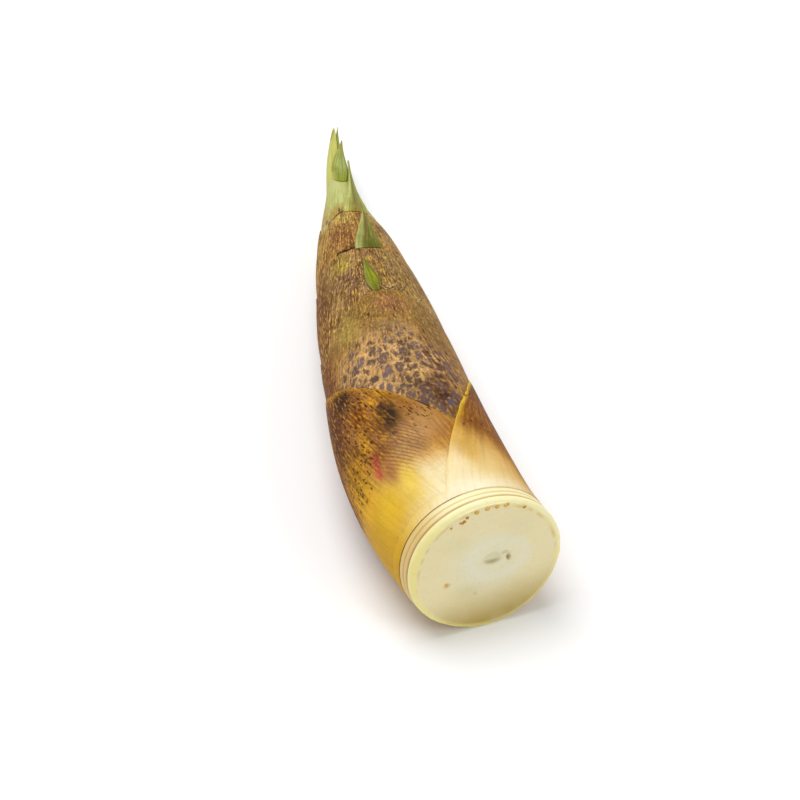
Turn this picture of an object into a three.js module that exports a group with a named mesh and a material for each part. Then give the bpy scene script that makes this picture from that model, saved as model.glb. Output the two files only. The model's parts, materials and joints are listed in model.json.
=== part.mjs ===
// A fresh bamboo shoot, cut off at its foot and lying on its side.
//
// A solid stem tapers from the flat cut to a growing point. Leaf sheaths grow on it one above
// the other, each from its own step of the stem, and wrap it like nested cones. Every sheath but
// the two lowest ends in a small green blade. Two rolled young leaves make the tip.
//
// A point of the shoot is given by how far it lies along the axis from the cut, by its angle round
// the axis (0 right, 90 top, 180 left, 270 underneath) and by its distance from the axis.
// Lengths are millimetres and angles are degrees.

import * as THREE from 'three';

// ---------------------------------------------------------------- driving dimensions

const COLUMNS = 24; // sides of every ring, with a flat one underneath
const SHEATH_THICKNESS = 0.75;
const BLADE_THICKNESS = 0.75;
const GAP = 0.3; // free space between two pieces that lie on each other
const LAYER = SHEATH_THICKNESS + GAP;

// The middle of the cut, so that the origin is under the middle of the whole shoot.
const CUT_X = 7.2;
const CUT_Y = -138.6;

// The axis bends in plan: [along, to the right, forward].
const AXIS = [
  [0, 0, 0],
  [14, -4.8, 13.1],
  [28, -8.2, 26.7],
  [57, -12.0, 55.4],
  [85, -12.8, 83.4],
  [114, -12.3, 112.3],
  [171, -10.6, 169.2],
  [228, -8.5, 226.0],
  [256, -5.8, 253.9],
  [285, 0, 282.2],
];
const LENGTH = 285;

// The rings of points that shape every piece lie this far apart.
const STATION = 10;

// Outer radius over the sheaths: [along, radius].
const RADII = [
  [0, 28.0],
  [17, 28.6],
  [37, 29.4],
  [63, 29.2],
  [100, 26.6],
  [142, 22.9],
  [185, 16.8],
  [228, 7.1],
  [256, 4.2],
  [285, 2.2],
];

// The rings turn in plan as the shoot grows out of its lean, and the cut itself leans back.
const TURN_AT_CUT = -8.4;
const TURN_AT_TIP = 16.3;
const CUT_LEAN = 5.9;
const CUT_LEAN_END = 60;

// The underside lies on the ground up to here. Beyond it the axis sinks by this slope.
const LYING_LENGTH = 130;
const AXIS_SLOPE = 0.047;
const PRESSED_FLAT = 0.06; // how deep the underside is pressed flat where it lies

// The rim left at the cut: [along, smaller than the outer radius by].
const RIM = [
  [0, 1.7],
  [1.0, 0.3],
  [2.2, 0],
  [5.6, 0],
  [6.5, 1.2],
];

// Beyond the edge of a sheath the next one keeps its depth a little, then swells out over this length.
const EDGE_REST = 3;
const SWELL_LENGTH = 30;

// The sheaths from the foot to the tip. node: where it grows on the stem. facing: the angle of its
// apex. tip and notch: how far along the apex and the opposite side reach. shoulder: how far from the
// apex, in degrees, the top edge stays level. reach: where it comes down to the notch. power: how it
// curves there.
const SHEATHS = [
  { name: 'sheath_1', node: 7.4, facing: 22.5, tip: 84, notch: 11, shoulder: 0, reach: 84, power: 1.15 },
  { name: 'sheath_2', node: 8.7, facing: 217.5, tip: 97, notch: 14, shoulder: 20, reach: 180, power: 1.65 },
  { name: 'sheath_3', node: 20, facing: 82.5, tip: 133, notch: 50, shoulder: 10, reach: 180, power: 1.3 },
  { name: 'sheath_4', node: 40, facing: 262.5, tip: 151, notch: 55, shoulder: 10, reach: 180, power: 1.3 },
  { name: 'sheath_5', node: 60, facing: 82.5, tip: 166.5, notch: 90, shoulder: 45, reach: 180, power: 1.6 },
  { name: 'sheath_6', node: 80, facing: 262.5, tip: 186, notch: 95, shoulder: 20, reach: 180, power: 1.3 },
  { name: 'sheath_7', node: 110, facing: 82.5, tip: 202, notch: 147, shoulder: 20, reach: 180, power: 1.3 },
  { name: 'sheath_8', node: 130, facing: 262.5, tip: 222, notch: 160, shoulder: 30, reach: 180, power: 1.3 },
  { name: 'sheath_9', node: 150, facing: 82.5, tip: 236, notch: 186, shoulder: 45, reach: 180, power: 1.3 },
];

// The outer tip leaf is rolled like a sheath and runs on to the tip as a long strip on one side.
const OUTER_TIP_LEAF = {
  name: 'tip_leaf_outer', node: 170, facing: 142.5, tip: 242, notch: 204,
  shoulder: 30, reach: 180, power: 1.3, point: 41, pointReach: 62, pointPower: 0.15,
};

// The inner tip leaf is rolled up solid round the growing point of the stem. slack: how much thinner it
// is than the room inside the outer one.
const INNER_TIP_LEAF = {
  name: 'tip_leaf_inner', node: 190, tip: 285, taperFrom: 256, pointAngle: 90, pointRadius: 1.0, slack: 0.15,
};
const GROWING_POINT = { along: 212, radius: 0.8 };

// The blades. sheath: the sheath that it grows on. facing: its angle at the foot. lean: how far the tip
// turns round the shoot. width: at the foot. length: along the shoot. lift: how far its tip stands off.
const BLADES = [
  { name: 'blade_3', sheath: 3, facing: 92, lean: 3, width: 5.5, length: 23, lift: 0.3 },
  { name: 'blade_4', sheath: 4, facing: 266, lean: -4, width: 7.0, length: 26, lift: 0 },
  { name: 'blade_5', sheath: 5, facing: 85, lean: -14, width: 11.0, length: 33, lift: 0.6 },
  { name: 'blade_6', sheath: 6, facing: 262, lean: 6, width: 10.0, length: 32, lift: 0.4 },
  { name: 'blade_7', sheath: 7, facing: 81, lean: -50, width: 10.0, length: 52, lift: 0.9 },
  { name: 'blade_8', sheath: 8, facing: 262, lean: -10, width: 8.0, length: 42, lift: 0.6 },
  { name: 'blade_9', sheath: 9, facing: 88, lean: -34, width: 6.6, length: 33.5, lift: 0.2 },
];
const BLADE_STEPS = [0, 0.14, 0.28, 0.42, 0.56, 0.7, 0.85, 1]; // along the blade, from foot to tip
const BLADE_ACROSS = [-1, -0.5, 0, 0.5, 1]; // across it, from edge to edge
const BLADE_CONCAVE = 1.1; // above 1 the two sides of a blade curve in
const BLADE_TIP_WIDTH = 0.8;

const FLESH = { color: 0xe4dba6, roughness: 0.45, metalness: 0 };
const SHEATH_BROWN = { color: 0x8a6430, roughness: 0.6, metalness: 0 };
const LEAF_GREEN = { color: 0x97a53c, roughness: 0.55, metalness: 0 };

// ---------------------------------------------------------------- the form of the shoot

const radians = THREE.MathUtils.degToRad;
const clamp = THREE.MathUtils.clamp;
const lerp = THREE.MathUtils.lerp;

// A smooth curve through points [x, y, ...], read at x. column picks the value.
function through(points, x, column = 1) {
  const last = points.length - 1;
  const slope = (i) => (points[i + 1][column] - points[i][column]) / (points[i + 1][0] - points[i][0]);
  const tangent = (i) => {
    if (i === 0) return 1.5 * slope(0) - 0.5 * tangent(1);
    if (i === last) return 1.5 * slope(last - 1) - 0.5 * tangent(last - 1);
    const before = points[i][0] - points[i - 1][0];
    const after = points[i + 1][0] - points[i][0];
    return (slope(i - 1) * after + slope(i) * before) / (before + after);
  };
  let i = 0;
  while (i < last - 1 && x > points[i + 1][0]) i += 1;
  const span = points[i + 1][0] - points[i][0];
  const t = (x - points[i][0]) / span;
  return (
    (1 + 2 * t) * (1 - t) ** 2 * points[i][column] +
    t * (1 - t) ** 2 * span * tangent(i) +
    t * t * (3 - 2 * t) * points[i + 1][column] +
    t * t * (t - 1) * span * tangent(i + 1)
  );
}

const bodyRadius = (along) => through(RADII, along);

const halfSide = Math.cos(Math.PI / COLUMNS); // from the corner of a ring to the middle of its side

const cutLean = (along) => radians(CUT_LEAN) * clamp(1 - along / CUT_LEAN_END, 0, 1);

function axisHeight(along) {
  const lying = Math.min(along, LYING_LENGTH);
  const restingHeight = bodyRadius(lying) * halfSide * Math.cos(cutLean(lying)) - PRESSED_FLAT;
  return restingHeight - AXIS_SLOPE * (along - lying);
}

// The point at a distance from the axis. Nothing reaches below the ground.
function place(along, angle, radius) {
  const turn = radians(lerp(TURN_AT_CUT, TURN_AT_TIP, along / LENGTH));
  const lean = cutLean(along);
  const right = radius * Math.cos(radians(angle));
  const up = radius * Math.sin(radians(angle));
  const forward = up * Math.sin(lean);
  return new THREE.Vector3(
    CUT_X + through(AXIS, along, 1) + right * Math.cos(turn) + forward * Math.sin(turn),
    CUT_Y + through(AXIS, along, 2) - right * Math.sin(turn) + forward * Math.cos(turn),
    Math.max(0, axisHeight(along) + up * Math.cos(lean)),
  );
}

// How far an angle lies from the apex of a sheath, 0 to 180.
const fromApex = (sheath, angle) => Math.abs(((angle - sheath.facing + 540) % 360) - 180);

// How far along the top edge of a sheath reaches at an angle.
function topEdge(sheath, angle) {
  const away = fromApex(sheath, angle);
  const down = clamp((away - sheath.shoulder) / (sheath.reach - sheath.shoulder), 0, 1) ** sheath.power;
  const edge = lerp(sheath.tip, sheath.notch, down);
  if (!sheath.point) return edge;
  return edge + sheath.point * clamp(1 - away / sheath.pointReach, 0, 1) ** sheath.pointPower;
}

// 1 where a sheath covers the place, falling smoothly to 0 beyond its top edge.
function cover(sheath, along, angle) {
  const beyond = (along - topEdge(sheath, angle) - EDGE_REST) / SWELL_LENGTH;
  return 1 - THREE.MathUtils.smoothstep(beyond, 0, 1);
}

// The sheaths and the outer tip leaf, all of which are walls that wrap what grows inside them.
const WRAPS = [...SHEATHS, OUTER_TIP_LEAF];

// The outer radius of whatever lies under the first so many wraps.
function skin(wrapsAbove, along, angle) {
  const layers = WRAPS.slice(0, wrapsAbove).reduce((sum, wrap) => sum + cover(wrap, along, angle), 0);
  return bodyRadius(along) - LAYER * layers;
}

// The stations between two places.
function stationsBetween(from, to) {
  const first = Math.floor(from / STATION) + 1;
  const count = Math.max(0, Math.ceil(to / STATION) - first);
  return Array.from({ length: count }, (_, i) => (first + i) * STATION);
}

// ---------------------------------------------------------------- closed meshes

const COLUMN_ANGLES = Array.from({ length: COLUMNS }, (_, column) => ((column + 0.5) * 360) / COLUMNS);

function meshFrom(points, faces) {
  const geometry = new THREE.BufferGeometry();
  const coordinates = points.flatMap((point) => point.toArray());
  geometry.setAttribute('position', new THREE.Float32BufferAttribute(coordinates, 3));
  geometry.setIndex(faces.flat());
  geometry.computeVertexNormals();
  return geometry;
}

// A wall between an outer and an inner face. points are { outer, inner } pairs, and triangles are those
// of the outer face. The inner face is split alike, and every free edge is closed by a strip between
// the two.
function wall(points, triangles) {
  const faces = triangles.flatMap(([a, b, c]) => [
    [2 * a, 2 * b, 2 * c],
    [2 * a + 1, 2 * c + 1, 2 * b + 1],
  ]);
  const edges = triangles.flatMap(([a, b, c]) => [[a, b], [b, c], [c, a]]);
  const known = new Set(edges.map(String));
  for (const [a, b] of edges) {
    if (!known.has(`${b},${a}`)) faces.push([2 * b, 2 * a, 2 * a + 1], [2 * b, 2 * a + 1, 2 * b + 1]);
  }
  return meshFrom(points.flatMap(({ outer, inner }) => [outer, inner]), faces);
}

// The two triangles of each cell between rows and columns of points numbered row by row. Every piece is
// split the same way, so that two pieces that lie on each other keep their gap.
function cellTriangles(rows, columns, wrapped) {
  const triangles = [];
  for (let row = 0; row < rows - 1; row += 1) {
    for (let column = 0; column < (wrapped ? columns : columns - 1); column += 1) {
      const low = row * columns + column;
      const high = row * columns + ((column + 1) % columns);
      triangles.push([low, low + columns, high], [low + columns, high + columns, high]);
    }
  }
  return triangles;
}

// Cuts a face off along its top edge. Each point carries spare, how far below the edge it lies, and what
// is above the edge goes. New points on the edge are added between the two that they lie between.
function trimmed(points, triangles) {
  const kept = [...points];
  const cuts = new Map();
  const cut = (a, b) => {
    const [from, to] = a < b ? [a, b] : [b, a];
    const key = `${from},${to}`;
    if (!cuts.has(key)) {
      const t = points[from].spare / (points[from].spare - points[to].spare);
      kept.push({
        outer: points[from].outer.clone().lerp(points[to].outer, t),
        inner: points[from].inner.clone().lerp(points[to].inner, t),
      });
      cuts.set(key, kept.length - 1);
    }
    return cuts.get(key);
  };
  const keptTriangles = triangles.flatMap((triangle) => {
    const polygon = triangle.flatMap((a, corner) => {
      const b = triangle[(corner + 1) % 3];
      const here = points[a].spare >= 0 ? [a] : [];
      return points[a].spare >= 0 !== points[b].spare >= 0 ? [...here, cut(a, b)] : here;
    });
    return polygon.slice(2).map((_, i) => [polygon[0], polygon[i + 1], polygon[i + 2]]);
  });
  const used = [...new Set(keptTriangles.flat())];
  const renumbered = new Map(used.map((old, index) => [old, index]));
  return {
    points: used.map((old) => kept[old]),
    triangles: keptTriangles.map((triangle) => triangle.map((old) => renumbered.get(old))),
  };
}

// A solid skinned over rings of points, closed by a fan to a point at each end.
function solid(firstPoint, rings, lastPoint) {
  const skinned = cellTriangles(rings.length, COLUMNS, true);
  const first = rings.length * COLUMNS;
  const lastRing = first - COLUMNS;
  const ends = COLUMN_ANGLES.flatMap((_, column) => {
    const next = (column + 1) % COLUMNS;
    return [[first, column, next], [first + 1, lastRing + next, lastRing + column]];
  });
  return meshFrom([...rings.flat(), firstPoint, lastPoint], [...skinned, ...ends]);
}

// One ring of points. radiusAt gives the distance from the axis at each angle.
const ring = (along, radiusAt) => COLUMN_ANGLES.map((angle) => place(along, angle, radiusAt(angle)));

// ---------------------------------------------------------------- the pieces

// The radius of the bare cone that the stem ends in, inside the inner tip leaf.
function growingPointRadius(along) {
  const { node } = INNER_TIP_LEAF;
  const foot = skin(WRAPS.length, node, 0) - LAYER;
  return lerp(foot, GROWING_POINT.radius, clamp((along - node) / (GROWING_POINT.along - node), 0, 1));
}

// The stem: the rim at the cut, one step inwards where each leaf grows, and the growing point.
function stemGeometry() {
  const rings = RIM.map(([along, smaller]) => ring(along, () => bodyRadius(along) - smaller));
  WRAPS.forEach((wrap, wrapsAbove) => {
    const step = wrap.node - GAP;
    const nextStep = (WRAPS[wrapsAbove + 1] ?? INNER_TIP_LEAF).node - GAP;
    const covered = (along) => ring(along, (angle) => skin(wrapsAbove + 1, along, angle));
    rings.push(covered(step), ...stationsBetween(wrap.node, nextStep).map(covered), covered(nextStep));
  });
  const coneFoot = INNER_TIP_LEAF.node - GAP;
  rings.push(ring(coneFoot, () => growingPointRadius(coneFoot)));
  rings.push(ring(GROWING_POINT.along, () => GROWING_POINT.radius));
  return solid(place(0, 0, 0), rings, place(GROWING_POINT.along + GROWING_POINT.radius, 0, 0));
}

// A sheath: a wall that wraps the shoot from its node, trimmed along its top edge.
function wrapGeometry(wrap, wrapsAbove) {
  const highest = Math.max(...COLUMN_ANGLES.map((angle) => topEdge(wrap, angle)));
  const rows = [wrap.node, ...stationsBetween(wrap.node, highest + STATION)];
  const points = rows.flatMap((along) =>
    COLUMN_ANGLES.map((angle) => {
      const radius = skin(wrapsAbove, along, angle);
      return {
        outer: place(along, angle, radius),
        inner: place(along, angle, radius - SHEATH_THICKNESS),
        spare: topEdge(wrap, angle) - along,
      };
    }),
  );
  const face = trimmed(points, cellTriangles(rows.length, COLUMNS, true));
  return wall(face.points, face.triangles);
}

// The inner tip leaf: rolled up solid, hollow only where the growing point fills it.
function innerTipLeafGeometry() {
  const { node, tip, taperFrom, pointAngle, pointRadius, slack } = INNER_TIP_LEAF;
  const hollowEnd = place(GROWING_POINT.along + GROWING_POINT.radius + GAP, 0, 0);
  const hollowRadius = (along) => growingPointRadius(along) + GAP;
  const hollow = [GROWING_POINT.along, node].map((along) => ring(along, () => hollowRadius(along)));
  const outside = [node, ...stationsBetween(node, tip), tip - STATION / 4].map((along) => {
    const round = ring(along, (angle) => skin(WRAPS.length, along, angle) - slack);
    const taper = clamp((along - taperFrom) / (tip - taperFrom), 0, 1);
    const towards = place(along, pointAngle, pointRadius);
    return round.map((point) => point.lerp(towards, taper));
  });
  return solid(hollowEnd, [...hollow, ...outside], place(tip, pointAngle, pointRadius));
}

// A blade: a thin pointed leaf from the top edge of its sheath, lying over the next one.
function bladeGeometry(blade) {
  const sheath = SHEATHS[blade.sheath - 1];
  const points = BLADE_STEPS.flatMap((t) =>
    BLADE_ACROSS.map((across) => {
      const width = lerp(BLADE_TIP_WIDTH, blade.width, (1 - t) ** BLADE_CONCAVE);
      const radius = bodyRadius(sheath.tip + blade.length * t);
      const turn = THREE.MathUtils.radToDeg((across * width) / 2 / radius);
      const angle = blade.facing + blade.lean * t + turn;
      const along = lerp(topEdge(sheath, angle), sheath.tip, t) + GAP + blade.length * t;
      const under = skin(blade.sheath, along, angle) + GAP + blade.lift * t * t;
      return { outer: place(along, angle, under + BLADE_THICKNESS), inner: place(along, angle, under) };
    }),
  );
  return wall(points, cellTriangles(BLADE_STEPS.length, BLADE_ACROSS.length, false));
}

// ---------------------------------------------------------------- assembly

const shoot = new THREE.Group();

function addPiece(name, geometry, colour) {
  const mesh = new THREE.Mesh(geometry, new THREE.MeshStandardMaterial(colour));
  mesh.name = name;
  shoot.add(mesh);
}

addPiece('stem', stemGeometry(), FLESH);
SHEATHS.forEach((sheath, index) => addPiece(sheath.name, wrapGeometry(sheath, index), SHEATH_BROWN));
addPiece(OUTER_TIP_LEAF.name, wrapGeometry(OUTER_TIP_LEAF, SHEATHS.length), LEAF_GREEN);
addPiece(INNER_TIP_LEAF.name, innerTipLeafGeometry(), LEAF_GREEN);
BLADES.forEach((blade) => addPiece(blade.name, bladeGeometry(blade), LEAF_GREEN));

export default shoot;
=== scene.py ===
# %% [markdown]
# # A fresh bamboo shoot
# A bamboo shoot is a solid, tapering stem that is still wrapped in its leaves. Each leaf is a tough
# sheath that grows from its own step of the stem and rolls round everything inside it. This one was
# cut off at the foot and lies on its side.
#
# The CAD model holds the form as plain solids. Here every one of them gets a finer surface that
# keeps the same form, and a finish. The script first loads the CAD model as its fixed frame.

# %% Load the frame
import json
import math

import bpy
import numpy as np
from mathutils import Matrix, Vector


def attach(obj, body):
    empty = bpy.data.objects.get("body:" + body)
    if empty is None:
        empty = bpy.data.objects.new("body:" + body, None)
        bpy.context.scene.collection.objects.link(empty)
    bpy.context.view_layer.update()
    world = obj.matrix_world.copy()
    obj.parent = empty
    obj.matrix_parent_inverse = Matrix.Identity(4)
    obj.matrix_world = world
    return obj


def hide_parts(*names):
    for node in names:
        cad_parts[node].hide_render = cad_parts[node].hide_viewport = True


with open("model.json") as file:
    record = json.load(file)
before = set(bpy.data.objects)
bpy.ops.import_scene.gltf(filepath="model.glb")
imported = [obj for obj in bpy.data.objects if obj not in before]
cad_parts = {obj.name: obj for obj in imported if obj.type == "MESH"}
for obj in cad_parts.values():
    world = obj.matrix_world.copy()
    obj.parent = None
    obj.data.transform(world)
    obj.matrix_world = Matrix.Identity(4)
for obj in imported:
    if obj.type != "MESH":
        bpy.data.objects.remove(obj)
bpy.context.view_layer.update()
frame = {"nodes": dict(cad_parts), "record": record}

BODY = "root"  # nothing moves on a shoot, so every piece rides on the one body
MM = 0.001
print("CAD nodes:", len(frame["nodes"]))

# %% [markdown]
# ## The form of the shoot
# Every piece of a shoot lies on one form: a long cone that bends a little. So the form is written
# once, as functions, and each piece asks them where its points go. A place on the shoot is given by
# how far it lies *along* the axis from the cut, by its *angle* round the axis (0 right, 90 top, 180
# left, 270 underneath) and by its distance from the axis. Lengths are in millimetres here, and become
# metres only when a mesh is made. NumPy works on whole grids of points at a time, which is quick and
# needs no loops.

# %% Measures of the whole shoot
# The bend and the radii are results of a fit to the outline of the shoot, rounded to 0.1 mm. The three
# radii nearest the tip were changed. The turns and the lean of the cut come from the same fit.
LENGTH = 285.0
CUT_MIDDLE = (7.2, -138.6)
AXIS = [  # along, to the right, forward
    (0, 0, 0), (14, -4.8, 13.1), (28, -8.2, 26.7), (57, -12.0, 55.4), (85, -12.8, 83.4),
    (114, -12.3, 112.3), (171, -10.6, 169.2), (228, -8.5, 226.0), (256, -5.8, 253.9), (285, 0, 282.2),
]
RADII = [  # along, outer radius over the sheaths
    (0, 28.0), (17, 28.6), (37, 29.4), (63, 29.2), (100, 26.6),
    (142, 22.9), (185, 16.8), (228, 7.1), (256, 4.2), (285, 2.2),
]
TURN_AT_CUT, TURN_AT_TIP = -8.4, 16.3
CUT_LEAN, CUT_LEAN_END = 5.9, 60.0
LYING_LENGTH, AXIS_SLOPE, PRESSED_FLAT = 130.0, 0.047, 0.06
FLAT_SIDE = math.cos(math.pi / 24)  # the CAD rings have 24 sides and rest on a flat one


def smooth(t):
    """0 below 0, 1 above 1, and an S-shaped rise between them."""
    t = np.clip(t, 0.0, 1.0)
    return t * t * (3 - 2 * t)


def mix(a, b, t):
    return a + (b - a) * t


def angles_round(columns):
    """So many angles round the shoot, in degrees."""
    return np.arange(columns) * 360 / columns


def degrees_from(angle, middle):
    """How far an angle is turned from another, from -180 to 180."""
    return (angle - middle + 540) % 360 - 180


def through(points, x, column=1):
    """A smooth curve through points (x, y, ...), read at x."""
    table = np.asarray(points, float)
    at, value = table[:, 0], table[:, column]
    span = np.diff(at)
    slope = np.diff(value) / span
    tangent = np.empty_like(value)
    tangent[1:-1] = (slope[:-1] * span[1:] + slope[1:] * span[:-1]) / (span[:-1] + span[1:])
    tangent[0] = 1.5 * slope[0] - 0.5 * tangent[1]
    tangent[-1] = 1.5 * slope[-1] - 0.5 * tangent[-2]
    i = np.clip(np.searchsorted(at, x) - 1, 0, len(at) - 2)
    t = (x - at[i]) / span[i]
    start = (1 + 2 * t) * (1 - t) ** 2 * value[i] + t * (1 - t) ** 2 * span[i] * tangent[i]
    end = t * t * (3 - 2 * t) * value[i + 1] + t * t * (t - 1) * span[i] * tangent[i + 1]
    return start + end


print("length and widest radius, mm:", LENGTH, max(radius for _, radius in RADII))

# %% From a place on the shoot to a point in space
def body_radius(along):
    return through(RADII, along)


def cut_lean(along):
    return math.radians(CUT_LEAN) * np.clip(1 - along / CUT_LEAN_END, 0, 1)


def axis_height(along):
    lying = np.minimum(along, LYING_LENGTH)
    resting = body_radius(lying) * FLAT_SIDE * np.cos(cut_lean(lying)) - PRESSED_FLAT
    return resting - AXIS_SLOPE * (along - lying)


def place(along, angle, radius):
    """The point, in millimetres, at a distance from the axis. Nothing reaches below the ground."""
    along, angle, radius = np.broadcast_arrays(*map(np.asarray, (along, angle, radius)))
    along = along.astype(float)
    turn = np.radians(mix(TURN_AT_CUT, TURN_AT_TIP, along / LENGTH))
    right = radius * np.cos(np.radians(angle))
    up = radius * np.sin(np.radians(angle))
    forward = up * np.sin(cut_lean(along))
    x = CUT_MIDDLE[0] + through(AXIS, along, 1) + right * np.cos(turn) + forward * np.sin(turn)
    y = CUT_MIDDLE[1] + through(AXIS, along, 2) - right * np.sin(turn) + forward * np.cos(turn)
    z = np.maximum(0, axis_height(along) + up * np.cos(cut_lean(along)))
    return np.stack([x, y, z], axis=-1)


SHALLOW_WAVES = [(0.13, 3, 17, 0), (0.10, 2, -23, 1), (0.06, 5, 9, 2)]  # mm high, waves, mm of twist, start


def unevenness(along, angle):
    """Shallow waves that every layer shares, because a grown thing is never quite round."""
    turn = np.radians(angle)
    return sum(height * np.sin(waves * turn + along / twist + start)
               for height, waves, twist, start in SHALLOW_WAVES)


print("tip of the shoot, mm:", place(LENGTH, 0, 0).round(1))

# %% [markdown]
# ## The layers
# The sheaths lie over each other like the tiles of a roof. What matters at each place is how many
# sheaths lie above it, because each one adds its thickness. `skin` counts them and gives the radius
# of whatever comes next. Near the edge of a sheath the count falls off slowly, so the sheath thins out
# and the next one swells up to take its place. That keeps the outline calm, as on a real shoot.

# %% Sheaths and how they cover each other
SHEATH_THICKNESS = 0.75
GAP = 0.3
LAYER = SHEATH_THICKNESS + GAP
SWELL_BEFORE, SWELL_LENGTH = 19.0, 36.0  # mm before a covering edge, and in all
WRAP_KEYS = ("name", "node", "facing", "tip", "notch", "shoulder", "reach", "power")
WRAP_TABLE = [
    ("sheath_1", 7.4, 22.5, 84, 11, 0, 84, 1.15),
    ("sheath_2", 8.7, 217.5, 97, 14, 20, 180, 1.65),
    ("sheath_3", 20, 82.5, 133, 50, 10, 180, 1.3),
    ("sheath_4", 40, 262.5, 151, 55, 10, 180, 1.3),
    ("sheath_5", 60, 82.5, 166.5, 90, 45, 180, 1.6),
    ("sheath_6", 80, 262.5, 186, 95, 20, 180, 1.3),
    ("sheath_7", 110, 82.5, 202, 147, 20, 180, 1.3),
    ("sheath_8", 130, 262.5, 222, 160, 30, 180, 1.3),
    ("sheath_9", 150, 82.5, 236, 186, 45, 180, 1.3),
    ("tip_leaf_outer", 170, 142.5, 242, 204, 30, 180, 1.3),
]
WRAPS = [dict(zip(WRAP_KEYS, row)) for row in WRAP_TABLE]
POINTED = {"tip_leaf_outer": (41, 62, 0.15)}  # a long strip: its length, its half width, its curve


def top_edge(wrap, angle):
    """How far along the top edge of a sheath reaches at an angle."""
    away = np.abs(degrees_from(angle, wrap["facing"]))
    down = np.clip((away - wrap["shoulder"]) / (wrap["reach"] - wrap["shoulder"]), 0, 1)
    edge = mix(wrap["tip"], wrap["notch"], down ** wrap["power"])
    if wrap["name"] in POINTED:
        length, half_width, curve = POINTED[wrap["name"]]
        edge = edge + length * np.clip(1 - away / half_width, 0, 1) ** curve
    return edge


def cover(wrap, along, angle):
    return 1 - smooth((along - top_edge(wrap, angle) + SWELL_BEFORE) / SWELL_LENGTH)


def skin(wraps_above, along, angle):
    """The outer radius of whatever lies under the first so many wraps."""
    layers = sum(cover(wrap, along, angle) for wrap in WRAPS[:wraps_above])
    return body_radius(along) + unevenness(along, angle) - LAYER * layers


print("layers over the stem at 60 mm:", sum(float(cover(w, 60.0, 90.0)) for w in WRAPS))

# %% [markdown]
# ## Meshes that carry their own map
# A pattern on a leaf follows its fibres, not the three axes of space. So every point of a leaf keeps a
# few values of its own, as attributes. The materials read `grain`, a place on the unrolled shoot,
# `wash`, the broad colour, `marks`, how much of three kinds of marking there is, `aged`, how far the
# leaf has turned brown, `below`, how far a point lies below the leaf's edge, and `beyond`, how far it
# lies past the edge of the leaf that covers it. The geometry trees read `ahead`, which way the fibres
# run, `outside`, where ribs may rise, and `hairy`, where hairs may grow. They could be painted by hand
# in Blender. Here formulas paint them, so they stay right when a measure changes.

# %% One helper makes every mesh
GRAIN_RADIUS = 28.0
ATTRIBUTE_KINDS = {"grain": "vector", "ahead": "vector", "marks": "vector", "wash": "color"}
ATTRIBUTE_TYPES = {"vector": "FLOAT_VECTOR", "color": "FLOAT_COLOR", "value": "FLOAT"}


def grain_of(along, angle):
    """A place on the unrolled shoot, in centimetres, without a seam."""
    turn = np.radians(angle)
    ring = np.stack(np.broadcast_arrays(np.cos(turn), np.sin(turn), along / GRAIN_RADIUS), axis=-1)
    return ring * GRAIN_RADIUS / 10


def ahead_of(along, angle):
    """The direction of the fibres."""
    step = place(along + 1.0, angle, body_radius(along + 1.0)) - place(along, angle, body_radius(along))
    return step / np.linalg.norm(step, axis=-1, keepdims=True)


def put_in_scene(name, data):
    """A new object in the scene that shows this mesh, lamp or camera."""
    made = bpy.data.objects.new(name, data)
    bpy.context.scene.collection.objects.link(made)
    return made


def make_object(name, points, faces, values):
    """A smooth mesh object from points in millimetres, with values for every point."""
    mesh = bpy.data.meshes.new(name)
    mesh.from_pydata((points.reshape(-1, 3) * MM).tolist(), [], faces)
    for key, data in values.items():
        kind = ATTRIBUTE_KINDS.get(key, "value")
        layer = mesh.attributes.new(key, ATTRIBUTE_TYPES[kind], "POINT")
        layer.data.foreach_set(kind, np.ascontiguousarray(data, np.float32).ravel())
    mesh.polygons.foreach_set("use_smooth", [True] * len(mesh.polygons))
    mesh.update()
    return put_in_scene(name, mesh)


def grid_faces(rows, columns, wrapped, first=0, flipped=False):
    """The quads between rows and columns of points numbered row by row."""
    row, column = np.meshgrid(np.arange(rows - 1), np.arange(columns if wrapped else columns - 1))
    low = first + row * columns + column
    high = first + row * columns + (column + 1) % columns
    quads = np.stack([low, low + columns, high + columns, high], axis=-1).reshape(-1, 4)
    return (quads[:, ::-1] if flipped else quads).tolist()


def strip_faces(edge_out, edge_in, wrapped, flipped=False):
    """The quads between two lines of points."""
    count = len(edge_out) if wrapped else len(edge_out) - 1
    quads = []
    for i in range(count):
        j = (i + 1) % len(edge_out)
        quad = [edge_out[i], edge_out[j], edge_in[j], edge_in[i]]
        quads.append(quad[::-1] if flipped else quad)
    return quads


print("attributes with a kind of their own:", ", ".join(ATTRIBUTE_KINDS))

# %% [markdown]
# ## Camera, floor and light
# The shoot is looked down on from the cut end, through a long lens, which keeps the cone from looking
# steeper than it is. Soft light from above leaves only a faint shadow on a pale floor. The Standard
# view keeps colours as they are set, where Blender's usual AgX view would grey the whites.

# %% Camera
# The place and the direction come from the same fit as the bend of the shoot.
CAMERA_PLACE = (-0.1306, -0.6518, 0.5839)
CAMERA_LOOK = (0.15139, 0.72631, -0.67049)
LENS, SENSOR = 100.0, 36.0
NEAREST = 0.01  # metres from the camera at which the view starts


def aim(made, spot, direction):
    """Puts a camera or a lamp in its place, looking in a direction."""
    made.location = spot
    made.rotation_mode = "QUATERNION"
    made.rotation_quaternion = Vector(direction).to_track_quat("-Z", "Y")


def make_camera():
    lens = bpy.data.cameras.new("camera")
    lens.lens = LENS
    lens.sensor_width = SENSOR
    lens.clip_start = NEAREST
    camera = put_in_scene("camera", lens)
    aim(camera, CAMERA_PLACE, CAMERA_LOOK)
    bpy.context.scene.camera = camera


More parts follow.
